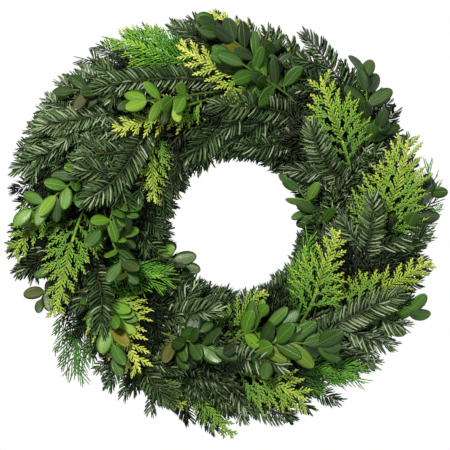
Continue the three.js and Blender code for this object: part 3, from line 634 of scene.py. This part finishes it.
def grow_needles(growth, line, start, needles, normal=None):
    """Needles all round a twig, most of them to its sides and over its top."""
    random = growth.random
    count = max(3, int((line.total - start) / needles.step))
    for row, (low, high, slant, share, light) in enumerate(NEEDLE_ROWS):
        n = max(2, int(count * share))
        lengths = start + (line.total - start) * (np.arange(n) + random.uniform(0.3, 0.7, n)) / n
        position, forward, left, up = line.frames(lengths, normal)
        around = np.radians(random.uniform(low, high, n))
        out = -left * np.cos(around)[:, None] + up * np.sin(around)[:, None]
        near_tip = np.clip(1 - (line.total - lengths) / 16, 0, 1)
        near_foot = np.clip((lengths - start) / 10, 0.55, 1)
        sway = np.where(np.cos(around) > 0, NEEDLE_SWAY, -NEEDLE_SWAY)
        spots = make_spots(
            position,
            lean_out(forward, out, slant - 30 * near_tip + random.normal(0, 2.5, n)),
            unit(up + 0.35 * forward * (row > 1)),
            length=needles.length * random.uniform(0.88, 1.1, n) * (1 - 0.32 * near_tip) * near_foot,
            width=(FAR_NEEDLE_WIDTH if needles.far else NEEDLE_WIDTH) * random.uniform(0.85, 1.15, n),
            thickness=NEEDLE_THICKNESS,
            arch=random.normal(0.0, 0.04, n),
            sway=sway + random.normal(0.0, 0.02, n),
            # Painted light on the rows over the twig, painted shade on the row under it.
            shade=np.clip(needles.shade + light + random.normal(0, 0.17, n), 0, 1),
        )
        shape = FAR_NEEDLE_SHAPE if needles.far else NEEDLE_SHAPE
        growth.stamp(shape, spots, lambda points: needles_fit(points, needles))


def needles_fit(points, needles):
    """Which needles are clear of leaves, fans and the hole, and within the outline."""
    axis = points[:, [0, points.shape[1] // 2, -1]]
    free = (leaf_room.share_taken(axis) == 0) & (fan_room.share_taken(axis) == 0)
    if not needles.over:
        free &= ~fan_room.hides(axis) & ~leaf_room.hides(axis)
    past = FAR_NEEDLE_PAST_REACH - needles.ragged * 1.5 if needles.far else NEEDLE_PAST_REACH
    tips = points[:, -1]
    free &= level_distance(tips) < fir_reach(tips) + past
    return free & clear_of_hole(points, needles.ragged)


def is_hidden(line):
    """Whether a twig would lie over foliage that is to stay in view."""
    points = line.at(np.linspace(0, line.total, 12))[:, None]
    over = fan_room.hides(points) | leaf_room.hides(points)
    return over[3:].mean() > 0.3


def grow_fir_twig(growth, line, radius, needles, normal=None, start=1.5):
    if is_hidden(line):
        return
    lengths = np.linspace(0, line.total, max(4, int(line.total / 7)))
    radii = radius * (1 - 0.5 * lengths / line.total)
    growth.tube(line.frames(lengths, normal), radii, sides=4 if needles.far else 5)
    grow_needles(growth, line, start, needles, normal)


def grow_fir(growth, cutting):
    """A fir spray: its stem, pairs of side twigs, and low twigs that fill the wreath's body."""
    random = growth.random
    line = cutting.line
    total = line.total
    needle = NEEDLE_LENGTH * cutting.size
    grow_stem(growth, line)
    beyond = line.at(total) + unit(line.at(total) - line.at(total - 2)) * FIR_BUD
    spray = Line(np.vstack([line.points, beyond]))
    needles = Needles(needle, cutting.shade, NEEDLE_STEP * 0.85, over=True)
    grow_needles(growth, spray, total * 0.24, needles)
    for length in np.arange(total * 0.4, total - 12, BRANCH_STEP):
        full = min(LONGEST_BRANCH, 10 + 0.6 * (total - length)) * cutting.size
        for side in (1, -1):
            reach = full * random.uniform(0.85, 1.1)
            slant = random.uniform(44, 54)
            twig, up = side_line(line, length, side, slant, reach, 0.14, 0.6, away=0.6)
            twig = end_at_reach(twig)
            needles = Needles(needle * 0.92, cutting.shade, ragged=random.uniform(-1, 7))
            grow_fir_twig(growth, twig, BRANCH_RADIUS, needles, up)
            if reach > FORKED_BRANCH:
                forked = Needles(needle * 0.8, cutting.shade, NEEDLE_STEP * 1.1, ragged=needles.ragged)
                grow_forks(growth, twig, reach, up, forked)
    grow_fill(growth, cutting)


def grow_forks(growth, twig, reach, up, needles):
    """A pair of short twigs at the sides of a longer one."""
    for side in (1, -1):
        slant = growth.random.uniform(42, 50)
        fork, _ = side_line(twig, twig.total * FORK_SHARE, side, slant, reach * 0.4, 0.12, 0.5, up)
        grow_fir_twig(growth, end_at_reach(fork), FORK_RADIUS, needles, up)


def grow_fill(growth, cutting):
    """Low twigs along the ring from this cutting's clamp, which fill the body under its face."""
    random = growth.random
    for place, share in enumerate(FILL_PLACES):
        at_edge = share in (FILL_PLACES[0], FILL_PLACES[-1])
        shade = fill_painted_shade(cutting, at_edge)
        line = fill_line(cutting, random, share, FILL_LEVELS[place % 2])
        needles = Needles(FILL_NEEDLE, shade, FILL_NEEDLE_STEP, not at_edge, random.uniform(0, 8))
        grow_fir_twig(growth, line, FILL_RADIUS, needles, start=6.0)
        needles.length = FILL_BRANCH_NEEDLE
        for length in np.arange(line.total * 0.2, line.total - 6, FILL_BRANCH_STEP):
            for side in (1, -1):
                slant = random.uniform(44, 58)
                reach = random.uniform(18, 28)
                twig, up = side_line(line, length, side, slant, reach, 0.1, 0.5, count=6)
                grow_fir_twig(growth, twig, FILL_BRANCH_RADIUS, needles, up)


def fill_painted_shade(cutting, at_edge):
    """Painted shade: low twigs are painted black in the gaps between cuttings, and painted lighter where
    they are in view.
    """
    if at_edge:
        return EDGE_FILL_PAINTED_LIGHT
    return OPEN_FILL_PAINTED_LIGHT if cutting.name in OPEN_FILL else DEEP_FILL_PAINTED_SHADOW


def fill_line(cutting, random, share, height):
    """A low twig's way from near its clamp to its share of the way from the hole to the edge."""
    start = cutting.line.at(cutting.line.total * random.uniform(0.16, 0.3))
    t = np.linspace(0, 1, 12)
    angles = math.atan2(start[1], start[0]) + math.radians(random.uniform(38, 56)) * t
    outer = float(fir_reach(polar(angles[-1], 1, 0)[None])[0]) - FILL_MARGIN
    away = FILL_INNER + (outer - FILL_INNER) * share + random.uniform(-7, 5)
    distances = level_distance(start) * (1 - t**0.6) + away * t**0.6
    level = float(face_height(away)) * height * random.uniform(0.85, 1.2)
    heights = start[2] * (1 - t) + max(level, 6) * t
    points = np.stack([np.cos(angles) * distances, np.sin(angles) * distances, heights], axis=1)
    points[:, :2] += HOLE_MIDDLE * ((1 - share) * t[:, None])
    return end_at_hole(points)


# ---- Cypress ----


def grow_twiglets(growth, line, up, twiglets, age, shade):
    """One branchlet: the scales along its middle, and short twiglets left and right in turn."""
    random = growth.random
    lengths = np.arange(line.total * 0.08, line.total - 1.5, twiglets.step)
    n = len(lengths)
    scales = grow_scales(growth, line, up, twiglets.width, age, shade)
    if n == 0 or len(scales) == 0:
        return
    position, forward, left, face = line.frames(lengths, up)
    side = np.where(np.arange(n) % 2 == 0, 1.0, -1.0)
    share = lengths / line.total
    envelope = np.minimum(1, 0.45 + 1.6 * share) * (1 - 0.72 * np.clip(share - 0.35, 0, 1) / 0.65)
    spots = make_spots(
        position,
        lean_out(forward, left * side[:, None], twiglets.slant + random.normal(0, 3, n)),
        face,
        length=twiglets.length * envelope * random.uniform(0.85, 1.15, n),
        width=twiglets.width * random.uniform(0.9, 1.1, n),
        thickness=twiglets.width * 0.5,
        arch=random.normal(0.0, 0.05, n),
        sway=-0.06 * side,
        shade=np.clip(shade + random.normal(0, 0.07, n), 0, 1),
        warm=np.clip(age + AGEING * share**1.7 + random.normal(0, 0.05, n), 0, 1),
    )
    growth.stamp(TWIGLET_SHAPE, spots, clear_of_leaves)


def grow_scales(growth, line, up, width, age, shade):
    """The scale-covered middle of a branchlet, as a chain of overlapping pieces."""
    pieces = max(2, int(line.total / SCALE_STEP))
    lengths = np.linspace(0, line.total, pieces + 1)[:-1]
    position, forward, _, face = line.frames(lengths, up)
    spots = make_spots(
        position,
        forward,
        face,
        length=line.total / pieces * 1.35,
        width=width * 1.1,
        thickness=width * 0.7,
        shade=shade,
        warm=np.clip(age + AGEING * (lengths / line.total) ** 1.7, 0, 1),
    )
    return growth.stamp(TWIGLET_SHAPE, spots, clear_of_leaves)


def clear_of_leaves(points):
    axis = points[:, :: max(1, points.shape[1] // 5)]
    return leaf_room.share_taken(axis) < 0.2


def grow_cypress(growth, cutting):
    """A flat fan: branchlets left and right of the stem in turn, each with its own twiglets."""
    random = growth.random
    fan = FANS[cutting.kind]
    line = cutting.line
    total = line.total
    grow_stem(growth, line)
    start = total * fan.first
    widest = fan.reach * cutting.size**fan.growth
    for n, length in enumerate(np.arange(start, total - 4, fan.step)):
        share = (length - start) / (total - start)
        reach = widest * (1 - 0.78 * share) * random.uniform(0.85, 1.12)
        slant = fan.slant - 8 * share + random.uniform(-3, 3)
        branchlet, up = side_line(line, length, (-1) ** n, slant, reach, 0.1, 0.55)
        age = 0.58 * share - 0.1
        if cutting.kind == "golden_cypress":
            grow_twiglets(growth, branchlet, up, TWIGLETS, age, cutting.shade)
            if reach >= FEATHERED_BRANCHLET:
                grow_feathers(growth, branchlet, up, reach, age, cutting)
        else:
            grow_twiglets(growth, branchlet, up, THREADS, age, cutting.shade)
    tip = Line(line.at(np.linspace(total * 0.6, total + 1, 12)))
    grow_twiglets(growth, tip, None, TIP_TWIGLETS, TIP_AGE, cutting.shade)
    leafy = Line(line.at(np.linspace(start, total * 0.62, 12)))
    grow_scales(growth, leafy, None, STEM_THICKNESS * 1.25, 0.1, cutting.shade)


def grow_feathers(growth, branchlet, up, reach, age, cutting):
    """Smaller branchlets at the sides of a long one."""
    for n, length in enumerate(np.arange(reach * 0.25, reach * 0.6, FEATHER_STEP)):
        share = length / reach
        full = (13 - 5 * share) * cutting.size
        slant = growth.random.uniform(28, 36)
        feather, _ = side_line(branchlet, length, (-1) ** n, slant, full, 0.1, 0.3, up, 6)
        grow_twiglets(growth, feather, up, FEATHER_TWIGLETS, age + 0.25 * share, cutting.shade)


# ---- Boxwood ----


def grow_leaf(growth, frame_here, out, slant, lift, length, cutting, share=1.0):
    """One leaf, turned a little where another is in its way."""
    random = growth.random
    position, forward, _, up = frame_here
    width = LEAF_WIDTH * cutting.size * random.uniform(0.85, 1.12) * min(1, 0.35 + length / 28)
    arch = random.uniform(-0.22, 0.05)
    tilt = random.normal(0, 0.3, 3) - 0.25 * forward
    for turn, extra in LEAF_TRIES:
        spots = make_spots(
            position[None],
            lean_out(lean_out(forward, out, slant + turn), up, lift + extra)[None],
            unit(up + 0.5 * UP + tilt)[None],
            length=length,
            width=width,
            thickness=LEAF_THICKNESS,
            arch=arch,
            cup=random.uniform(-0.06, 0.12),
            sway=random.normal(0, 0.05),
            shade=np.clip(cutting.shade + random.normal(0, 0.16), 0, 1),
            warm=max(0, random.normal(-0.25, 0.3)),
        )
        for points in growth.stamp(LEAF_SHAPE, spots, clear_of_other_leaves):
            leaf_room.mark(points, cutting.height > SHOWN_HEIGHT and share > 0.45)
            leaf_room.mark((points[LEAF_SIDES:] + points[:-LEAF_SIDES]) / 2)
            return


def clear_of_other_leaves(points):
    """Whether a leaf is clear of those in place, but for its foot."""
    return leaf_room.share_taken(points[:, LEAF_SIDES:]) < 0.12


def grow_boxwood_shoot(growth, line, normal, first, cutting, scale=1.0):
    """Pairs of leaves, each pair turned a quarter round the shoot from the last, and an end leaf."""
    random = growth.random
    full = LEAF_LENGTH * cutting.size * scale
    lengths = np.append(np.arange(first, line.total - 1, LEAF_PAIR_STEP * scale), line.total - 0.5)
    for n, length in enumerate(lengths):
        here = line.frame(length, normal)
        _, _, left, up = here
        to_end = (len(lengths) - 1 - n) / 3
        leaf = full * random.uniform(0.85, 1.12) * min(1, 0.72 + to_end)
        if n % 2 == 0:
            ways = [(left, 6), (-left, 6)]
        else:
            ways = [(up + 0.5 * left, -12), (-0.25 * up + left * random.choice([-1, 1]), 0)]
        for out, lift in ways:
            slant = random.uniform(30, 62) - 10 * (to_end < 0.5)
            lift += random.uniform(-8, 12)
            grow_leaf(growth, here, unit(out), slant, lift, leaf, cutting, n / len(lengths))
    grow_leaf(growth, here, left, 8, 6, full * 0.85, cutting)


def grow_boxwood(growth, cutting):
    random = growth.random
    line = cutting.line
    grow_stem(growth, line)
    grow_boxwood_shoot(growth, line, None, line.total * 0.66, cutting)
    for n, share in enumerate(SHOOT_SHARES[: 2 if cutting.size >= 1 else 1]):
        slant = random.uniform(38, 50)
        reach = random.uniform(20, 27) * (1.25 - share) * cutting.size
        shoot, up = side_line(line, line.total * share, (-1) ** n, slant, reach, 0.2, 0.5)
        lengths = np.linspace(0, shoot.total, 6)
        growth.tube(shoot.frames(lengths, up), np.linspace(0.65, 0.4, 6), sides=5)
        grow_boxwood_shoot(growth, shoot, up, 5, cutting, 0.9)


# ---- The ring and its clamps ----


def grow_ring(growth):
    turns = np.linspace(0, 2 * math.pi, 97)
    position = np.array([polar(turn, RING_RADIUS, RING_WIRE / 2) for turn in turns])
    forward = np.array([ring_direction(turn) for turn in turns])
    up = np.broadcast_to(UP, position.shape)
    frames = (position, forward, np.cross(up, forward), up)
    growth.tube(frames, np.full(len(turns), RING_WIRE / 2), sides=16)
    for n in range(CLAMP_COUNT):
        angle = 2 * math.pi * n / CLAMP_COUNT
        bends = clamp_bends()
        points = np.array([polar(angle, RING_RADIUS + across, height) for across, height in bends])
        ahead = np.broadcast_to(ring_direction(angle), points.shape)
        forward = unit(np.gradient(points, axis=0))
        frames = (points, forward, ahead, np.cross(forward, ahead))
        growth.tube(frames, np.full(len(points), CLAMP_WIRE / 2), sides=10)


def clamp_bends():
    """The middle of a clamp's wire, with rounded corners: across the bundle, and height."""
    half = (CLAMP_WIDTH - CLAMP_WIRE) / 2
    high = CLAMP_FLOOR + CLAMP_HEIGHT - CLAMP_WIRE
    bend = CLAMP_BEND
    quarter = np.linspace(0, math.pi / 2, 6)
    right = [(half - bend + bend * math.sin(a), high - bend + bend * math.cos(a)) for a in quarter]
    foot = [(half - bend + bend * math.cos(a), CLAMP_FLOOR + bend - bend * math.sin(a)) for a in quarter]
    near = [((CLAMP_GAP + CLAMP_WIRE) / 2, high), *right, *foot]
    return near + [(-across, height) for across, height in reversed(near)]


# ---- Materials ----


def linear(code):
    """A colour given as its hex code, as a shader takes it."""
    values = [int(code[i : i + 2], 16) / 255 for i in (0, 2, 4)]
    return [v / 12.92 if v <= 0.04045 else ((v + 0.055) / 1.055) ** 2.4 for v in values] + [1.0]


class Shader:
    """A material's node tree, built a node at a time."""

    def __init__(self, name):
        self.material = bpy.data.materials.new(name)
        self.material.use_nodes = True
        self.tree = self.material.node_tree
        self.surface = self.tree.nodes["Principled BSDF"]
        self.colour = "000000"

    def node(self, kind, settings=None, **inputs):
        node = self.tree.nodes.new("ShaderNode" + kind)
        for key, value in (settings or {}).items():
            setattr(node, key, value)
        for key, value in inputs.items():
            self.set(node.inputs[key.replace("_", " ")], value)
        return node

    def set(self, socket, value):
        if isinstance(value, bpy.types.NodeSocket):
            self.tree.links.new(value, socket)
        else:
            socket.default_value = linear(value) if isinstance(value, str) else value

    def attribute(self, name):
        return self.node("Attribute", {"attribute_name": name}).outputs["Fac"]

    def maths(self, operation, a, b=0.0):
        node = self.node("Math", {"operation": operation})
        self.set(node.inputs[0], a)
        self.set(node.inputs[1], b)
        return node.outputs[0]

    def add(self, a, b):
        return self.maths("ADD", a, b)

    def times(self, a, b):
        return self.maths("MULTIPLY", a, b)

    def range(self, value, low, high, to_low=0.0, to_high=1.0):
        settings = {"interpolation_type": "SMOOTHSTEP"}
        limits = dict(From_Min=low, From_Max=high, To_Min=to_low, To_Max=to_high)
        return self.node("MapRange", settings, Value=value, **limits).outputs[0]

    def ramp(self, value, stops):
        """Makes the surface's colour one that changes with a value."""
        node = self.node("ValToRGB", Fac=value)
        elements = node.color_ramp.elements
        while len(elements) < len(stops):
            elements.new(0.5)
        for element, (place, code) in zip(elements, stops.items()):
            element.position = place
            element.color = linear(code)
        self.colour = node.outputs["Color"]

    def mix(self, code, share):
        """Mixes a colour into the surface's own."""
        node = self.node("Mix", {"data_type": "RGBA"}, Factor=share, A=self.colour, B=code)
        self.colour = node.outputs["Result"]

    def tint(self, code, value, low, high, least=0.0, most=1.0):
        """Mixes a colour in, from least to most as a value goes from low to high."""
        self.mix(code, self.range(value, low, high, least, most))

    def noise(self, scale, detail, roughness=0.6):
        place = self.node("TexCoord").outputs["Object"]
        node = self.node("TexNoise", Vector=place, Scale=scale, Detail=detail, Roughness=roughness)
        return node.outputs["Fac"]

    def distance_from(self, x, y):
        node = self.node("VectorMath", {"operation": "DISTANCE"})
        self.set(node.inputs[0], self.node("TexCoord").outputs["Object"])
        self.set(node.inputs[1], (x, y, 0.0))
        return node.outputs["Value"]

    def bump(self, height, strength, distance):
        node = self.node("Bump", Height=height, Strength=strength, Distance=distance)
        self.set(self.surface.inputs["Normal"], node.outputs["Normal"])

    def patches(self, scale, detail, low, high):
        """Soft patches of a value between low and high."""
        return self.range(self.noise(scale, detail), 0.3, 0.7, low, high)

    def finish(self, roughness, specular):
        self.set(self.surface.inputs["Base Color"], self.colour)
        self.set(self.surface.inputs["Roughness"], roughness)
        self.set(self.surface.inputs["Specular IOR Level"], specular)
        return self.material


FIR_COLOURS = {0.0: "000300", 0.3: "061404", 0.55: "28431D", 0.8: "536D40", 1.0: "98A887"}
GOLDEN_COLOURS = {0.0: "164606", 0.25: "327411", 0.5: "629522", 0.78: "A1B439", 1.0: "D0D068"}
GREEN_COLOURS = {0.0: "0F2E09", 0.3: "245F10", 0.55: "438815", 0.8: "7AAC28", 1.0: "B2CA52"}
BOXWOOD_COLOURS = {0.0: "0A1A03", 0.35: "1A380A", 0.6: "305C10", 0.85: "58861C", 1.0: "84A832"}
# Bark, from dark to light, and the colour of a stem where it is young.
BARKS = {
    "fir": ("1A160D", "2E281A", "4A4230", "2E3A18"),
    "golden_cypress": ("2C2413", "4F4422", "6E6A2E", "5F7420"),
    "green_cypress": ("2C2413", "4F4422", "6E6A2E", "2B5F1B"),
    "boxwood": ("34401A", "55642A", "7C8240", "4C6B22"),
}


def fir_material():
    """Dark needles with a paler groove along them, and painted shade at their foot, where they meet the
    twig.
    """
    shader = Shader("fir_needles")
    across = shader.maths("ABSOLUTE", shader.attribute("across"))
    shader.ramp(shader.attribute("shade"), FIR_COLOURS)
    shader.tint("3F5C2A", shader.noise(260, 2), 0.35, 0.7, 0.0, 0.15)
    shader.tint("A6B29A", across, 0.0, 0.5, 0.1, 0.0)
    # Painted shade at each needle's foot, where it meets the twig.
    shader.tint("020901", shader.attribute("along"), 0.0, 0.4, 0.75, 0.0)
    shader.bump(shader.noise(900, 2), 0.15, 0.0003)
    return shader.finish(shader.patches(120, 2, 0.4, 0.6), 0.13)


def cypress_material(name, colours, young, green):
    """Scale leaves, green at their foot and yellow where they are young."""
    shader = Shader(name)
    along = shader.attribute("along")
    age = shader.add(shader.times(shader.attribute("warm"), 0.7), shader.times(along, 0.25))
    light = shader.times(shader.add(shader.attribute("shade"), -0.45), 0.7)
    shader.ramp(shader.add(age, light), colours)
    scales = shader.maths("SINE", shader.times(along, 25.0))
    shader.tint(young, scales, 0.2, 1.0, 0.0, 0.3)
    shader.tint(green, shader.noise(180, 2), 0.4, 0.75, 0.0, 0.3)
    shader.bump(scales, 0.35, 0.0004)
    return shader.finish(shader.patches(90, 2, 0.45, 0.62), 0.35)


def boxwood_material():
    """Glossy leaves with side veins, a pale midrib and a thin pale edge. A few turn brown."""
    shader = Shader("boxwood_leaves")
    shade = shader.attribute("shade")
    across = shader.maths("ABSOLUTE", shader.attribute("across"))
    shader.ramp(shade, BOXWOOD_COLOURS)
    shader.tint("2C5A1C", shader.noise(140, 4), 0.35, 0.75, 0.0, 0.175)
    slanted = shader.add(shader.times(shader.attribute("along"), 62.0), shader.times(across, -19.0))
    veins = shader.maths("SINE", slanted)
    shader.tint("A9C873", veins, 0.55, 1.0, 0.0, 0.1)
    midrib = shader.range(across, 0.01, 0.08, 1.0, 0.0)
    strength = shader.range(shade, 0.3, 0.9, 0.08, 0.35)
    shader.mix("B9CC6B", shader.times(midrib, strength))
    shader.tint("A3B95A", across, 0.88, 1.0, 0.0, 0.12)
    shader.tint("8C7A22", shader.attribute("warm"), 0.1, 0.8, 0.0, 0.8)
    raised = shader.range(veins, 0.55, 1.0, 0.0, 0.3)
    shader.bump(shader.add(raised, shader.times(midrib, -1.0)), 0.5, 0.0004)
    return shader.finish(shader.patches(110, 3, 0.33, 0.5), 0.42)


def bark_material(kind, dark, mid, light, young):
    """Bark where a stem is cut, young and smooth towards its tip."""
    shader = Shader(kind + "_bark")
    grain = shader.noise(420, 5, 0.7)
    shader.ramp(grain, {0.3: dark, 0.5: mid, 0.72: light})
    shader.tint(young, shader.attribute("along"), 0.08, 0.3, 0.0, 0.9)
    shader.bump(grain, 0.6, 0.0005)
    return shader.finish(shader.range(grain, 0.3, 0.7, 0.6, 0.85), 0.3)


def cut_wood_material():
    """A freshly cut end: pale wood with rings, and a darker rim of bark."""
    shader = Shader("cut_wood")
    along = shader.attribute("along")
    shader.colour = "D9C9A0"
    shader.tint("B79C69", shader.maths("SINE", shader.times(along, 28.0)), -1.0, 1.0, 0.0, 0.4)
    shader.tint("5B4526", along, 0.82, 1.0)
    return shader.finish(shader.patches(500, 3, 0.65, 0.8), 0.3)


def ring_material():
    """Green enamel on steel wire, with small scuffs."""
    shader = Shader("ring_enamel")
    wide = shader.noise(25, 3)
    shader.colour = "1E3A22"
    shader.tint("2C4E2E", wide, 0.3, 0.7)
    shader.tint("7C8076", shader.noise(300, 6, 0.75), 0.62, 0.74, 0.0, 0.6)
    shader.bump(shader.noise(200, 4), 0.2, 0.0003)
    return shader.finish(shader.range(wide, 0.3, 0.7, 0.28, 0.45), 0.5)


def floor_material():
    """A glowing white surface with a painted shadow: dark only under the body of the wreath."""
    shader = Shader("pale_floor_with_painted_shadow")
    in_hole = shader.range(shader.distance_from(*HOLE_MIDDLE * MM), *FLOOR_HOLE, 1.0, 0.0)
    outside = shader.range(shader.distance_from(0, 0), *FLOOR_EDGE)
    shader.set(shader.surface.inputs["Emission Color"], "FFFFFF")
    # Painted shadow: the floor's glow fades out between the hole and the wreath's outer edge.
    shader.set(shader.surface.inputs["Emission Strength"], shader.maths("MAXIMUM", in_hole, outside))
    return shader.finish(1.0, 0.0)


def make_materials():
    """The materials of each kind of cutting, in the order of its slots."""
    foliage = {
        "fir": fir_material(),
        "golden_cypress": cypress_material("golden_scales", GOLDEN_COLOURS, "E4DF8C", "327411"),
        "green_cypress": cypress_material("green_scales", GREEN_COLOURS, "9CCB5A", "245F10"),
        "boxwood": boxwood_material(),
    }
    cut = cut_wood_material()
    return {kind: [bark_material(kind, *BARKS[kind]), leaves, cut] for kind, leaves in foliage.items()}


# ---- Light, floor and camera, in metres ----

FLOOR_SIZE = 6.0
# Between which distances the floor turns dark round the hole's middle, and light round the wreath's: a
# painted shadow under the wreath's body.
FLOOR_HOLE = (0.052, 0.062)
FLOOR_EDGE = (0.128, 0.142)
CAMERA_DISTANCE = 1.5  # from the middle of the foliage's height
CAMERA_LEVEL = 0.045
VIEW_WIDTH = 0.333  # what the picture's width shows at that level
SENSOR = 36.0
WORLD_STRENGTH = 0.06
# Lamps that look at the middle: place, size, power and colour.
LAMPS = {
    "key": ((-0.5, 0.7, 1.6), 0.3, 46, "FFFBF2"),
    "fill": ((1.0, -0.5, 1.4), 0.7, 8, "FFFFFF"),
    "rim": ((0.2, -1.3, 0.9), 0.9, 3, "FFFFFF"),
}


def make_floor():
    mesh = bpy.data.meshes.new("floor")
    half = FLOOR_SIZE / 2
    corners = [(-half, -half, 0), (half, -half, 0), (half, half, 0), (-half, half, 0)]
    mesh.from_pydata(corners, [], [(0, 1, 2, 3)])
    mesh.materials.append(floor_material())
    add_object("floor", mesh)


def light_studio():
    world = bpy.data.worlds.new("studio")
    world.use_nodes = True
    background = world.node_tree.nodes["Background"]
    background.inputs["Color"].default_value = linear("F7F7F4")
    background.inputs["Strength"].default_value = WORLD_STRENGTH
    bpy.context.scene.world = world
    for name, (place, size, power, colour) in LAMPS.items():
        light = bpy.data.lights.new(name, "AREA")
        light.shape = "DISK"
        light.size = size
        light.energy = power
        light.color = linear(colour)[:3]
        lamp = add_object(name, light)
        lamp.location = place
        lamp.rotation_mode = "QUATERNION"
        lamp.rotation_quaternion = (-Vector(place)).to_track_quat("-Z", "Y")


def set_camera():
    data = bpy.data.cameras.new("camera")
    data.sensor_width = SENSOR
    data.lens = SENSOR * CAMERA_DISTANCE / VIEW_WIDTH
    camera = add_object("camera", data)
    camera.location = (0, 0, CAMERA_LEVEL + CAMERA_DISTANCE)
    bpy.context.scene.camera = camera
    bpy.context.scene.view_settings.view_transform = "Standard"


# ---- The wreath ----

# In this order, so that fans keep clear of leaves, and needles of both.
GROWERS = {
    "boxwood": grow_boxwood,
    "golden_cypress": grow_cypress,
    "green_cypress": grow_cypress,
    "fir": grow_fir,
}


def set_piece(growth, name, node, materials):
    piece = growth.to_object(name, materials)
    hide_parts(node)
    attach(piece, "root")


def make_wreath():
    materials = make_materials()
    ring = Growth(SEED)
    grow_ring(ring)
    set_piece(ring, "ring_and_clamps", "clamp_ring", [ring_material()])
    kinds = list(GROWERS)
    for cutting in sorted(read_cuttings(), key=lambda c: (kinds.index(c.kind), -c.height)):
        follow_part(cutting)
        growth = Growth(cutting.seed)
        GROWERS[cutting.kind](growth, cutting)
        if cutting.kind in FANS:
            for part in growth.parts:
                if part.slot == LEAF:
                    fan_room.mark(part.points, cutting.height > SHOWN_HEIGHT)
        set_piece(growth, cutting.name + "_foliage", cutting.name, materials[cutting.kind])


make_wreath()
make_floor()
light_studio()
set_camera()
